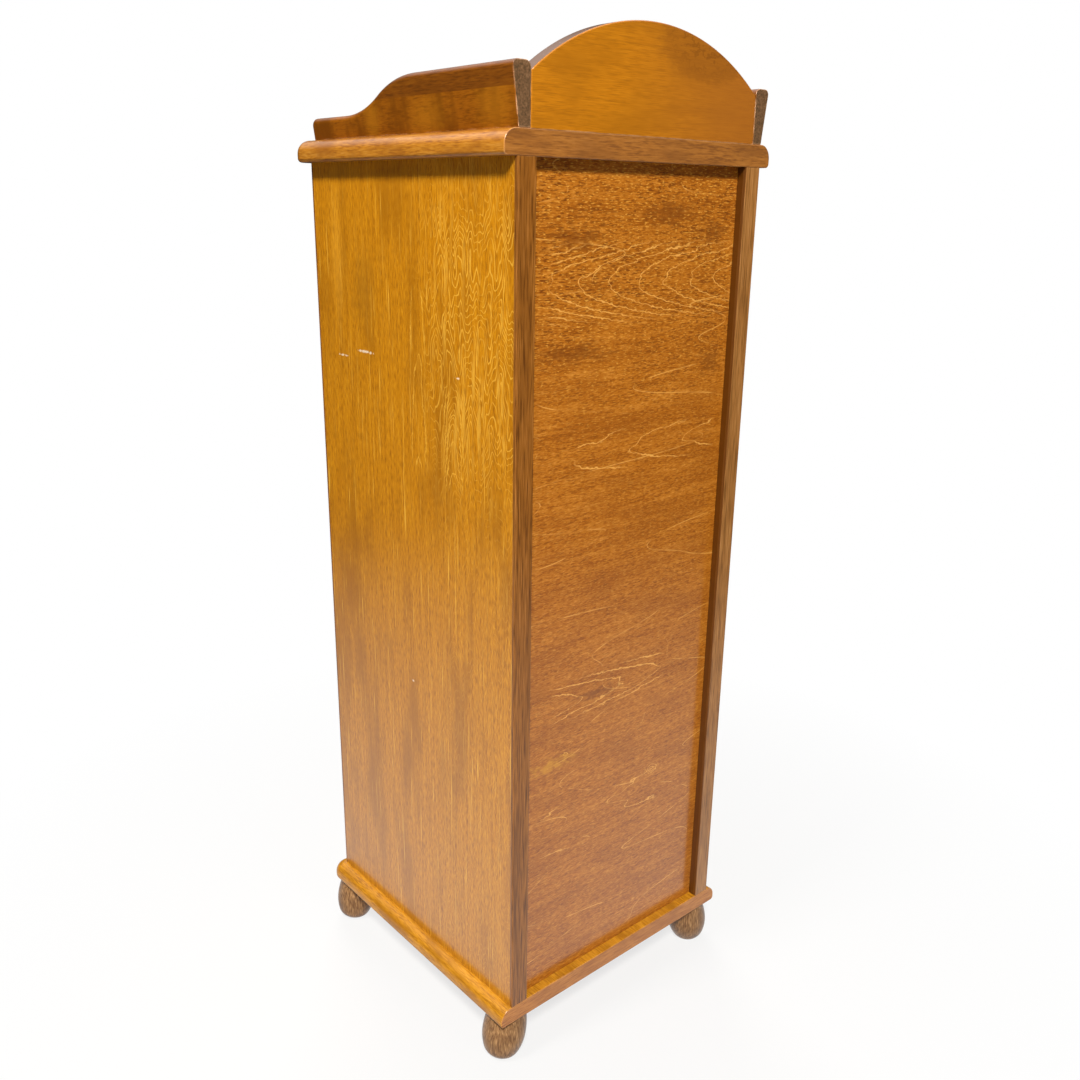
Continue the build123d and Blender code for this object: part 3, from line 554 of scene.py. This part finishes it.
def amber_plywood():
    """Peeled birch plywood, stained and lacquered: a rougher, redder sheet than the sides."""
    material, tree, space = start_finish("amber_birch_plywood", "XZY")
    up = add(tree, "ShaderNodeSeparateXYZ", {0: space}).outputs[1]
    colour, relief = stain(tree, space, BACK_TONES, (4, 0.9), (80, 3.0), (70, 22), 0.5, 2)
    high = (up, 560, 720, 0.4, 0.9)
    rough = (streaks(tree, space, 60, 30, detail=2.0, shift=3), 0.35, 0.6, 0.4, 1.0)
    dashes = (streaks(tree, space, 5.5, 1.1, detail=1.5, shift=7), 0.5, 0.64, 0.0, 1.0)
    colour = painted(tree, colour, "#6c350a", eased(tree, dashes, high, rough))
    glints = (streaks(tree, space, 4.5, 1.0, detail=1.0, shift=11), 0.58, 0.7, 0.0, 1.0)
    colour = painted(tree, colour, "#d4963a", eased(tree, glints, high))
    upper = flames(
        tree, space, middle=704, pitch=32, spread=0.12, width=34, reach=(-125, 100), line=0.4
    )
    nearly_level = zigzags(
        tree, space, pitch=190, height=900, length=420, width=60, line=0.45, shift=6
    )
    broken = (streaks(tree, space, 40, 9, detail=2.0, shift=12), 0.42, 0.64, 0.0, 0.8)
    faint = add(
        tree, "ShaderNodeMath", {0: nearly_level, 1: eased(tree, broken)}, operation="MULTIPLY"
    )
    others = [flames(tree, space, *group) for group in FLAMES]
    ring = knot(tree, space, (-47, 240), 13, 3.5)
    speck = knot(tree, space, (68, 297), 7, 3.0)
    lines = strongest(tree, upper, *others, faint, ring, speck)
    colour = painted(tree, colour, "#e0a24c", lines, 0.85)
    colour = painted(tree, colour, "#c88a1c", spot(tree, space, (84, 292), (30, 8)), 0.6)
    blotches = strongest(tree, *(spot(tree, space, *blotch) for blotch in BLOTCHES))
    colour = painted(tree, colour, "#6e390c", blotches, 0.6)
    return lacquer(material, tree, colour, relief, height=0.08)


back_finish = amber_plywood()
print("made", back_finish.name)

# %% [markdown]
# ## Edge strips and plain boards
# The strips on the panels' edges are solid wood, planed along a straight dark grain. A strip's
# side that faces into the stand is darkened as painted shade, which at the rear is the shade of
# the recess round the back panel. They could share the sides' finish, but veneer is sliced to
# show its figure, and a strip is sawn to hide it. The boards of the front, which the picture
# doesn't show, get the same solid wood with softer clouds.

# %% Planed strips and flat boards


def straight_strip(name, order, tones):
    """Planed solid birch, stained: close straight lines, pale arrises, painted shade on the inner
    face.
    """
    material, tree, space = start_finish(name, order)
    across = add(tree, "ShaderNodeSeparateXYZ", {0: space}).outputs[1]
    colour, relief = stain(tree, space, tones, (22, 0.9), (70, 1.6), (110, 9), 0.35, 4)
    colour = sanded_arrises(tree, colour, "#c08a54", 0.9, 0.5)
    far = add(tree, "ShaderNodeMath", {0: across}, operation="ABSOLUTE")
    # painted shade: the strip's inner side, facing into the stand and the recess, darkened to #532b08
    inner = eased(tree, (far, PANEL_INNER + 0.6, PANEL_INNER + 0.2, 0.0, 0.85))
    return lacquer(material, tree, painted(tree, colour, "#532b08", inner), relief, coat=0.7)


def cloudy_board(name, order, tones, shift):
    """Planed solid birch, stained: soft clouds over fine grain, and pale arrises."""
    material, tree, space = start_finish(name, order)
    colour, relief = stain(tree, space, tones, (18, 0.9), (50, 2.5), (60, 14), 0.5, shift)
    return lacquer(material, tree, sanded_arrises(tree, colour, "#e0a870"), relief)


FRONT_TONES = ("#844a0c", "#a8681c", "#c08230")
strip_finish = straight_strip("dark_planed_strip", "ZXY", ("#5a320c", "#855018", "#9c642a"))
left_strip_finish = straight_strip(
    "paler_planed_strip", "ZXY", ("#6e451c", "#986530", "#ad7a44")
)
front_level = cloudy_board("front_wood_level", "XZY", FRONT_TONES, 11)
front_upright = cloudy_board("front_wood_upright", "ZXY", FRONT_TONES, 15)
field_finish = cloudy_board("front_panel_veneer", "ZXY", SIDE_TONES, 21)
print("made", strip_finish.name, "and the front's finishes")

# %% [markdown]
# ## Wood of the moulded boards and the gallery
# On these pieces the way a face looks decides what it shows: long grain on the sides, browner
# wood on the boards' rear edges, end grain on the rails' ends. Each face could be given its own
# material, but the y part of a face's normal tells them apart on any mesh, and lets one tone fade
# into the other. A rail is two strips glued edge to edge, 27 mm above the board, with the darker
# one on top and large soft blotches on the lower one. The arch is golden on the left of the
# picture and redder on the right, round the ghost of a knot.

# %% Moulded boards, glued rails and the arch
TOP_OF_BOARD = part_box("top_board")[1].z / MM
GLUE_LINE = TOP_OF_BOARD + 27
PALE_PATCHES = (  # (y, height over the board), (half length, half height)
    ((-28, 12), (17, 30)),
    ((50, 10), (34, 26)),
    ((132, 14), (30, 36)),
)


def facing_rear(tree):
    """How squarely a face looks to the front or to the rear: the size of its normal's y."""
    face = add(tree, "ShaderNodeNewGeometry").outputs["Normal"]
    axes = add(tree, "ShaderNodeSeparateXYZ", {0: face})
    return add(tree, "ShaderNodeMath", {0: axes.outputs["Y"]}, operation="ABSOLUTE")


def moulded_wood(name, tones, rear_tones, coat):
    """Moulded solid birch: long cloudy grain round the sides, level brown grain at the rear."""
    material, tree, space = start_finish(name, "YXZ")
    colour, relief = stain(tree, space, tones, (9, 0.9), (60, 3.0), (34, 16), 0.8, 3)
    y, x, z = add(tree, "ShaderNodeSeparateXYZ", {0: space}).outputs
    level = add(tree, "ShaderNodeCombineXYZ", {0: x, 1: z, 2: y})
    ends, _ = stain(tree, level, rear_tones, (9, 0.9), (60, 3.0), (50, 12), 0.6, 6)
    colour = painted(tree, colour, ends, eased(tree, (facing_rear(tree), 0.6, 0.8, 0.0, 1.0)))
    colour = sanded_arrises(tree, colour, "#e2ab70", 1.2, 0.75)
    return lacquer(material, tree, colour, relief, coat=coat)


def rail_wood():
    """Two strips of solid birch, stained dark: the glue line, soft blotches, grey end grain."""
    material, tree, space = start_finish("glued_rail_wood", "YZX")
    up = add(tree, "ShaderNodeSeparateXYZ", {0: space}).outputs[1]
    tones = ("#5e3208", "#743f0a", "#804a0e")
    upper, relief = stain(tree, space, tones, (9, 0.9), (60, 3.0), (50, 12), 0.5, 1)
    tones = ("#6c3a04", "#8a4d08", "#94560b")
    lower, _ = stain(tree, space, tones, (7, 0.9), (26, 6), (16, 60), 1.0, 6)
    pale = (
        spot(tree, space, (y, TOP_OF_BOARD + over), size, rough=0.2)
        for (y, over), size in PALE_PATCHES
    )
    lower = painted(tree, lower, "#a8690f", strongest(tree, *pale), 0.45)
    above = eased(tree, (up, GLUE_LINE - 0.2, GLUE_LINE + 0.2, 0.0, 1.0))
    colour = painted(tree, lower, upper, above)
    tones = ("#4f3b26", "#674a30", "#7c5d40")
    end, _ = stain(tree, space, tones, (1.5, 1.5), (4, 4), (9, 9), 0.4, 8)
    colour = painted(tree, colour, end, eased(tree, (facing_rear(tree), 0.8, 0.95, 0.0, 1.0)))
    colour = sanded_arrises(tree, colour, "#e8b488", 1.5, 0.9)
    return lacquer(material, tree, colour, relief, coat=0.6)


def arch_wood():
    """Planed solid birch, stained: fine level grain, golden, then redder round a buried knot."""
    material, tree, space = start_finish("golden_arch_wood", "XZY")
    x = add(tree, "ShaderNodeSeparateXYZ", {0: space}).outputs[0]
    tones = ("#975b0b", "#ad690c", "#ba7513")
    colour, relief = stain(tree, space, tones, (12, 0.7), (60, 2.0), (60, 30), 0.6, 3)
    colour = painted(tree, colour, "#94561c", eased(tree, (x, 60, -120, 0.0, 0.75)))
    swirl = spot(tree, space, (-60, 882), (62, 30), 0.25, 0.12)
    colour = painted(tree, colour, "#7f4a12", swirl, 0.45)
    rim = knot(tree, space, (-60, 890), 58, 22)
    colour = painted(tree, colour, "#64360c", rim, 0.45)
    colour = painted(tree, colour, "#5d3a20", eased(tree, (facing_rear(tree), 0.5, 0.3, 0.0, 1.0)))
    colour = sanded_arrises(tree, colour, "#e0a870", 1.0, 0.7)
    return lacquer(material, tree, colour, relief, coat=0.5)


TOP_TONES, TOP_REAR = ("#8c5218", "#b0701c", "#bd8234"), ("#774820", "#965e26", "#a46b30")
BASE_TONES, BASE_REAR = ("#925c0e", "#b67916", "#c68c28"), ("#8e562a", "#ab6e34", "#b97c40")
top_finish = moulded_wood("stained_top_board", TOP_TONES, TOP_REAR, 1.0)
base_finish = moulded_wood("stained_base_board", BASE_TONES, BASE_REAR, 0.4)
rail_finish, arch_finish = rail_wood(), arch_wood()
print("made", [m.name for m in (top_finish, base_finish, rail_finish, arch_finish)])

# %% [markdown]
# ## Turned wood, bare wood and fittings
# The feet and the knobs are turned on a lathe, so their grain runs along the axis and the stain
# is mottled where the end grain drank more of it. The rest isn't in the picture. The drawer's box
# and the shelf are plain birch, and the fittings are brass, zinc-plated steel, brown plastic and
# dark ferrite, as they come from a fittings shop. Scratches and moulding grit are finer than 0.1
# mm, and are drawn 0.3 to 0.4 mm wide, so that they still show in a close view.

# %% Turned and bare wood, metal and plastic


def turned_wood(name, order, tones):
    """Birch turned on a lathe and stained: mottled, half matt, with grain down the axis."""
    material, tree, space = start_finish(name, order)
    colour, relief = stain(tree, space, tones, (8, 1.1), (14, 2.2), (12, 6), 0.6, 2)
    return lacquer(material, tree, colour, relief, coat=0.35, height=0.08)


def bare_birch(name, order):
    """Unstained birch, planed, under a thin coat of sealer: pale, dry and fine-grained."""
    material, tree, space = start_finish(name, order)
    tones = ("#c19a68", "#d3b07f", "#e2c79c")
    colour, relief = stain(tree, space, tones, (24, 0.8), (70, 2.5), (110, 30), 0.3, 5)
    return lacquer(material, tree, colour, relief, sheen=0.6, coat=0.1)


def metal(name, colour, roughness):
    """Plated and barrelled metal: bright, with a soft grain of scratches. Real ones are finer."""
    material, tree, space = start_finish(name, "XYZ")
    scratches = streaks(tree, space, 3, 0.3, detail=2.0)
    rough = eased(tree, (scratches, 0.3, 0.7, roughness - 0.08, roughness + 0.1))
    sockets = {"Base Color": linear(colour), "Metallic": 1.0, "Roughness": rough}
    shader = add(tree, "ShaderNodeBsdfPrincipled", sockets)
    add(tree, "ShaderNodeOutputMaterial", {"Surface": shader})
    return material


def moulded_plastic(name, colour):
    """Moulded ABS: an even colour, dulled by the grit that the mould was eroded with."""
    material, tree, space = start_finish(name, "XYZ")
    grit = streaks(tree, space, 0.4, 0.4, detail=1.0)
    bump = {"Height": grit, "Strength": 0.3, "Distance": 0.03 * MM}
    sockets = {
        "Base Color": linear(colour),
        "Roughness": 0.5,
        "IOR": 1.53,
        "Normal": add(tree, "ShaderNodeBump", bump),
    }
    shader = add(tree, "ShaderNodeBsdfPrincipled", sockets)
    add(tree, "ShaderNodeOutputMaterial", {"Surface": shader})
    return material


foot_finish = turned_wood("turned_foot_wood", "ZXY", ("#5e3d20", "#855f38", "#a57e52"))
knob_finish = turned_wood("turned_knob_wood", "YXZ", ("#3f2210", "#5f3817", "#7c4e26"))
birch_level = bare_birch("plain_birch_level", "XYZ")
birch_deep = bare_birch("plain_birch_deep", "YZX")
brass = metal("plated_brass", "#c9a35a", 0.3)
steel = metal("zinc_plated_steel", "#b9b6ac", 0.34)
plastic = moulded_plastic("brown_moulded_plastic", "#3a2415")
ferrite = moulded_plastic("pressed_ferrite", "#2b2a29")
print("made", foot_finish.name, "and the finishes out of sight")

# %% [markdown]
# ## Meshes on a grid
# The curved pieces are surfaces on a grid: one direction follows the piece's outline, and the
# other goes round its moulded edge. numpy works out all the points at once. The flat faces that
# close the shape are single polygons on the grid's borders, and the Weighted Normal modifier
# keeps them flat to the light where they run into a round.

# %% From a grid to a piece in the scene
SHARP_ANGLE = radians(32)
PAST_REAR = 1e-3  # mm that a last straight run aims past its end, which it stops short of


def arc(centre, radius, start, stop, steps, outward=1.0):
    """Points and outward normals on an arc: centre + radius x (cos a, sin a) for even angles a."""
    angle = np.radians(np.linspace(start, stop, steps))
    ray = np.stack([np.cos(angle), np.sin(angle)], -1)
    return np.array(centre) + radius * ray, outward * ray


def bend(*turn):
    """An arc short of its last point, which the next run begins with."""
    return [run[:-1] for run in arc(*turn)]


def straight(start, stop, normal, steps):
    """Even points from start to stop, short of stop, which the next run begins with."""
    share = np.linspace(0, 1, steps)[:-1, None]
    points = np.array(start) * (1 - share) + np.array(stop) * share
    return points, np.broadcast_to(np.array(normal, float), points.shape)


def joined(*runs):
    """Several runs of points and normals as one."""
    return tuple(np.concatenate([run[i] for run in runs]) for i in (0, 1))


def carried(path, normal, inset):
    """Every point of the edge's section, carried along the outline: path point - inset x normal."""
    return path[:, None, :] - inset[None, :, None] * normal[:, None, :]


def numbered(rows, columns):
    """The numbers of a grid's points, row by row."""
    return np.arange(rows * columns).reshape(rows, columns)


def grid_faces(rows, columns, closed=False):
    """The quads between neighbouring points of a grid, as point numbers."""
    number = numbered(rows, columns)
    if closed:
        number = np.concatenate([number, number[:1]])
    quads = np.stack([number[:-1, :-1], number[:-1, 1:], number[1:, 1:], number[1:, :-1]], -1)
    return quads.reshape(-1, 4).tolist()


def make_piece(name, points, faces, stands_for, finish, body="stand", arris=0.0):
    """A mesh from points in mm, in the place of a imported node, with its edges eased by arris mm."""
    mesh = bpy.data.meshes.new(name)
    mesh.from_pydata((np.asarray(points).reshape(-1, 3) * MM).tolist(), [], faces)
    work = bmesh.new()
    work.from_mesh(mesh)
    bmesh.ops.recalc_face_normals(work, faces=work.faces)
    work.to_mesh(mesh)
    work.free()
    mesh.shade_smooth()
    mesh.set_sharp_from_angle(angle=SHARP_ANGLE)
    mesh.materials.append(finish)
    piece = bpy.data.objects.new(name, mesh)
    bpy.context.scene.collection.objects.link(piece)
    if arris:
        easing = piece.modifiers.new("eased arrises", "BEVEL")
        easing.width, easing.segments, easing.limit_method = arris * MM, 3, "ANGLE"
        easing.angle_limit = SHARP_ANGLE
        easing.harden_normals = True
    flat = piece.modifiers.new("flat faces", "WEIGHTED_NORMAL")
    flat.keep_sharp = True
    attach(piece, body)
    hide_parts(*stands_for)
    return piece


print("a grid of 3 x 4 points has", len(grid_faces(3, 4)), "quads")

# %% [markdown]
# ## Top and base boards
# Both boards are one shape: a plan with rounded front corners and a square rear edge, with a
# large round along the top of its edge and a small one below. The moulding is a section of two
# arcs, carried round the plan from the rear left corner to the rear right one.

# %% The moulded boards
CORNER_RADIUS, BOARD_ROUND, BOARD_EASE = 14.0, 11.5, 3.5


def moulded_board(node, finish):
    """Plan outline x section: at each height, the section moves the outline's points in."""
    (left, front, low), (right, rear, top) = (np.array(c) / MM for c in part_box(node))
    r = CORNER_RADIUS
    path, normal = joined(
        straight((left, rear), (left, front + r), (-1, 0), 30),
        bend((left + r, front + r), r, 180, 270, 13),
        straight((left + r, front), (right - r, front), (0, -1), 30),
        bend((right - r, front + r), r, 270, 360, 13),
        straight((right, front + r), (right, rear + PAST_REAR), (1, 0), 30),
        (np.array([[right, rear]]), np.array([[1.0, 0.0]])),
    )
    below, above = np.radians(np.linspace(0, 90, 7)), np.radians(np.linspace(0, 90, 13))
    inset = np.concatenate([BOARD_EASE * (1 - np.sin(below)), BOARD_ROUND * (1 - np.cos(above))])
    height = np.concatenate(
        [low + BOARD_EASE * (1 - np.cos(below)), top - BOARD_ROUND * (1 - np.sin(above))]
    )
    plan = carried(path, normal, inset)
    levels = np.broadcast_to(height[None, :, None], (*plan.shape[:2], 1))
    rows, columns = plan.shape[:2]
    number = numbered(rows, columns)
    rear_face = number[0].tolist() + number[-1][::-1].tolist()
    faces = grid_faces(rows, columns) + [number[:, 0].tolist(), number[:, -1].tolist(), rear_face]
    points = np.concatenate([plan, levels], -1)
    return make_piece(f"{node}_moulded", points, faces, [node], finish, arris=0.7)


for board, finish in (("top_board", top_finish), ("base_board", base_finish)):
    print(board, "has", len(moulded_board(board, finish).data.polygons), "faces")

# %% [markdown]
# ## Gallery rails
# Seen from the side, a rail's top line is an ogee: two equal arcs, one hollow and one full,
# between a high run at the rear and a low one in front. Its outer face leans out, so it is
# thicker at the top. The rounded arris follows the whole line, which is why it is built as a
# section carried along it.

# %% The ogee rails
RAIL_FOOT, RAIL_CROWN = 11.0, 17.0
RAIL_LOW, CROWN_LENGTH, CURVE_LENGTH = 18.0, 122.5, 108.0
NOSE_RADIUS, RAIL_ROUND = 7.0, 5.0


def gallery_rail(side):
    """Ogee line x section: points move in from the line, and the outer face leans with height."""
    node = "gallery_rail_right" if side > 0 else "gallery_rail_left"
    low_corner, high_corner = (np.array(c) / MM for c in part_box(node))
    inner = low_corner[0] if side > 0 else -high_corner[0]
    front, rear, base = low_corner[1], high_corner[1], low_corner[2]
    crown = high_corner[2] - base
    half, rise = CURVE_LENGTH / 2, (crown - RAIL_LOW) / 2
    radius = (half**2 + rise**2) / (2 * rise)
    sweep = np.degrees(np.arcsin(half / radius))
    crown_end = rear - CROWN_LENGTH
    low_start = crown_end - CURVE_LENGTH
    nose = (front + NOSE_RADIUS, RAIL_LOW - NOSE_RADIUS)
    hollow = (low_start, RAIL_LOW + radius)
    path, normal = joined(
        straight((front, 0), (front, nose[1]), (-1, 0), 5),
        bend(nose, NOSE_RADIUS, 180, 90, 9),
        straight((nose[0], RAIL_LOW), (low_start, RAIL_LOW), (0, 1), 8),
        bend(hollow, radius, -90, -90 + sweep, 16, -1.0),
        bend((crown_end, crown - radius), radius, 90 + sweep, 90, 16),
        straight((crown_end, crown), (rear + PAST_REAR, crown), (0, 1), 16),
        (np.array([[rear, crown]]), np.array([[0.0, 1.0]])),
    )
    turn = np.radians(np.linspace(0, 90, 9))
    inset = RAIL_ROUND * (1 - np.sin(np.concatenate([turn, turn[::-1]])))
    side_line = carried(path, normal, inset)
    along, height = side_line[..., 0], side_line[..., 1]
    in_x = RAIL_ROUND * (1 - np.cos(turn))
    lean = RAIL_FOOT + (RAIL_CROWN - RAIL_FOOT) / crown * height
    x = np.concatenate([np.broadcast_to(in_x, lean[:, :9].shape), lean[:, 9:] - in_x[::-1]], 1)
    rows, columns = x.shape
    grid = np.stack([side * (inner + x), along, base + height], -1).reshape(-1, 3)
    heels = np.array([[side * inner, rear, base], [side * (inner + RAIL_FOOT), rear, base]])
    number = numbered(rows, columns)
    heel_in, heel_out = rows * columns, rows * columns + 1
    faces = grid_faces(rows, columns) + [
        number[:, 0].tolist() + [heel_in],
        number[:, -1].tolist() + [heel_out],
        number[-1].tolist() + [heel_out, heel_in],
        number[0].tolist() + [heel_out, heel_in],
    ]
    points = np.concatenate([grid, heels])
    return make_piece(f"{node}_ogee", points, faces, [node], rail_finish, arris=0.5)


for side in (-1, 1):
    print("rail", side, "has", len(gallery_rail(side).data.polygons), "faces")

# %% [markdown]
# ## Gallery back
# The arched board stands between the rails. Its outline is two short upright ends and one arc
# over them, and a small round is carried along it on both faces. Where an end meets the arc the
# outline has a corner, so the section there is moved in along the mitre.

# %% The arched back
SPRING_HEIGHT, ARCH_APEX, ARCH_ARRIS = 37.5, 80.5, 1.2


def arched_back():
    """Arch outline x section: point = outline point - inset x normal, at the section's depth."""
    (left, front, low), (right, rear, _) = (np.array(c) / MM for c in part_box("gallery_back"))
    rise = ARCH_APEX - SPRING_HEIGHT
    radius = (right**2 + rise**2) / (2 * rise)
    centre = (0.0, ARCH_APEX - radius)
    sweep = np.degrees(np.arcsin(right / radius))
    over, ray = arc(centre, radius, 90 + sweep, 90 - sweep, 61)
    ends = np.array([[-1.0, 0.0], [1.0, 0.0]])
    corner = [(ends[i] + ray[-i]) / (1 + ends[i] @ ray[-i]) for i in (0, 1)]
    path = np.concatenate([[[left, 0]], over, [[right, 0]]])
    normal = np.concatenate([ends[:1], [corner[0]], ray[1:-1], [corner[1]], ends[1:]])
    turn = np.radians(np.linspace(0, 90, 5))
    inset = ARCH_ARRIS * (1 - np.sin(np.concatenate([turn, turn[::-1]])))
    depth = ARCH_ARRIS * (1 - np.cos(turn))
    section_y = np.concatenate([front + depth, rear - depth[::-1]])
    outline = carried(path, normal, inset)
    y = np.broadcast_to(section_y, outline.shape[:2])
    points = np.stack([outline[..., 0], y, low + outline[..., 1]], -1)
    rows, columns = y.shape
    number = numbered(rows, columns)
    bottom = number[0].tolist() + number[-1][::-1].tolist()
    faces = grid_faces(rows, columns) + [number[:, 0].tolist(), number[:, -1].tolist(), bottom]
    return make_piece("gallery_arch", points, faces, ["gallery_back"], arch_finish)


print("arch has", len(arched_back().data.polygons), "faces")

# %% [markdown]
# ## Turned feet
# A foot is turned like an egg, and its axis leans out to the side. Its outline is three arcs,
# each running into the next without a corner: one down to the belly, one below it, and a tight
# one round to the end. The top is cut level under the board and the sole level on the floor, so
# each line of the grid down the foot starts and ends at another distance along the axis. That
# distance is read off the outline for each line, where its height reaches the board and the floor.

# %% The leaning feet
FOOT_TOP, FOOT_BELLY, BELLY_DROP, OVER_TOP = 17.0, 20.5, 24.0, 6.0
FOOT_LOWER_BEND, SOLE_ROUND, SOLE_CUT = 45.0, 13.0, 1.6
FOOT_SPLAY, FOOT_SIDE_INSET, FOOT_EDGE_INSET = radians(12.0), 12.0, 19.5


def foot_outline(height):
    """Radius and distance down the axis, from above the board to the middle of the flat end."""
    upper_in = FOOT_BELLY - FOOT_TOP
    upper = (BELLY_DROP**2 + upper_in**2) / (2 * upper_in)
    tip = height / cos(FOOT_SPLAY) + SOLE_CUT
    spread = FOOT_LOWER_BEND - SOLE_ROUND
    lower_turn = np.degrees(np.arcsin((tip - SOLE_ROUND - BELLY_DROP) / spread))
    lower_x = FOOT_BELLY - FOOT_LOWER_BEND
    round_x = lower_x + spread * cos(radians(lower_turn))
    over_turn = np.degrees(np.arcsin((BELLY_DROP + OVER_TOP) / upper))
    return np.concatenate(
        [
            bend((FOOT_BELLY - upper, BELLY_DROP), upper, -over_turn, 0, 24)[0],
            bend((lower_x, BELLY_DROP), FOOT_LOWER_BEND, 0, lower_turn, 12)[0],
            arc((round_x, tip - SOLE_ROUND), SOLE_ROUND, lower_turn, 90, 16)[0],
            [[0.0, tip]],
        ]
    )


def turned_foot(end, hand):
    """Angle x place on the outline: every line starts under the board and ends on the floor."""
    side = 1 if hand == "right" else -1
    (_, front, height), (_, rear, _) = (np.array(c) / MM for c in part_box("base_board"))
    x = side * (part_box("side_panel_right")[1].x / MM - FOOT_SIDE_INSET)
    y = rear - FOOT_EDGE_INSET if end == "rear" else front + FOOT_EDGE_INSET
    outline = foot_outline(height)
    turn = np.linspace(0, 2 * pi, 73)[:-1, None]
    lift = np.cos(turn) * outline[:, 0] * sin(FOOT_SPLAY) - outline[:, 1] * cos(FOOT_SPLAY)
    steps = np.arange(len(outline))
    first = np.array([np.interp(0.0, -row, steps) for row in lift])
    last = np.array([np.interp(height, -row, steps) for row in lift])
    share = (1 - np.cos(np.linspace(0, pi, 41))) / 2
    place = first[:, None] + (last - first)[:, None] * share
    radius = np.interp(place, steps, outline[:, 0])
    down = np.interp(place, steps, outline[:, 1])
    out = radius * np.cos(turn)
    points = np.stack(
        [
            x + side * (out * cos(FOOT_SPLAY) + down * sin(FOOT_SPLAY)),
            y + radius * np.sin(turn),
            height + out * sin(FOOT_SPLAY) - down * cos(FOOT_SPLAY),
        ],
        -1,
    )
    rows, columns = radius.shape
    number = numbered(rows, columns)
    faces = grid_faces(rows, columns, closed=True) + [number[:, 0].tolist(), number[:, -1].tolist()]
    node = f"foot_{end}_{hand}"
    return make_piece(f"{node}_turned", points, faces, [node], foot_finish, arris=0.6)


for end in ("front", "rear"):
    for hand in ("left", "right"):
        foot = turned_foot(end, hand)
        print(foot.name, "has", len(foot.data.polygons), "faces")

# %% [markdown]
# ## Finishes for the carried pieces
# The flat pieces already have their right shape in the imported model, so they only get a finish.
# Each node's material slots are emptied, and it is given one finish by the start of its name.

# %% Every other node gets its finish
FINISH_OF = {
    start: finish
    for finish, starts in (
        (side_finish, "side_panel"),
        (back_finish, "back_panel"),
        (strip_finish, "front_lipping rear_lipping"),
        (left_strip_finish, "rear_lipping_left"),
        (front_level, "divider_board drawer_front door_top_rail door_bottom_rail"),
        (front_upright, "door_hinge_stile door_latch_stile"),
        (field_finish, "door_panel"),
        (knob_finish, "drawer_knob door_knob"),
        (birch_deep, "drawer_side drawer_kickers"),
        (birch_level, "drawer_back drawer_bottom drawer_stops shelf"),
        (birch_level, "carcass_dowels divider_dowels gallery_dowels"),
        (steel, "shelf_pins foot_bolts drawer_knob_screw door_knob_screw catch_screws strike"),
        (brass, "hinge"),
        (plastic, "catch_housing"),
        (ferrite, "catch_magnet"),
    )
    for start in starts.split()
}
for name, node in nodes.items():
    if node.hide_render:
        continue
    start = max((key for key in FINISH_OF if name.startswith(key)), key=len)
    node.data.materials.clear()
    node.data.materials.append(FINISH_OF[start])
print("dressed", sum(not node.hide_render for node in nodes.values()), "carried nodes")
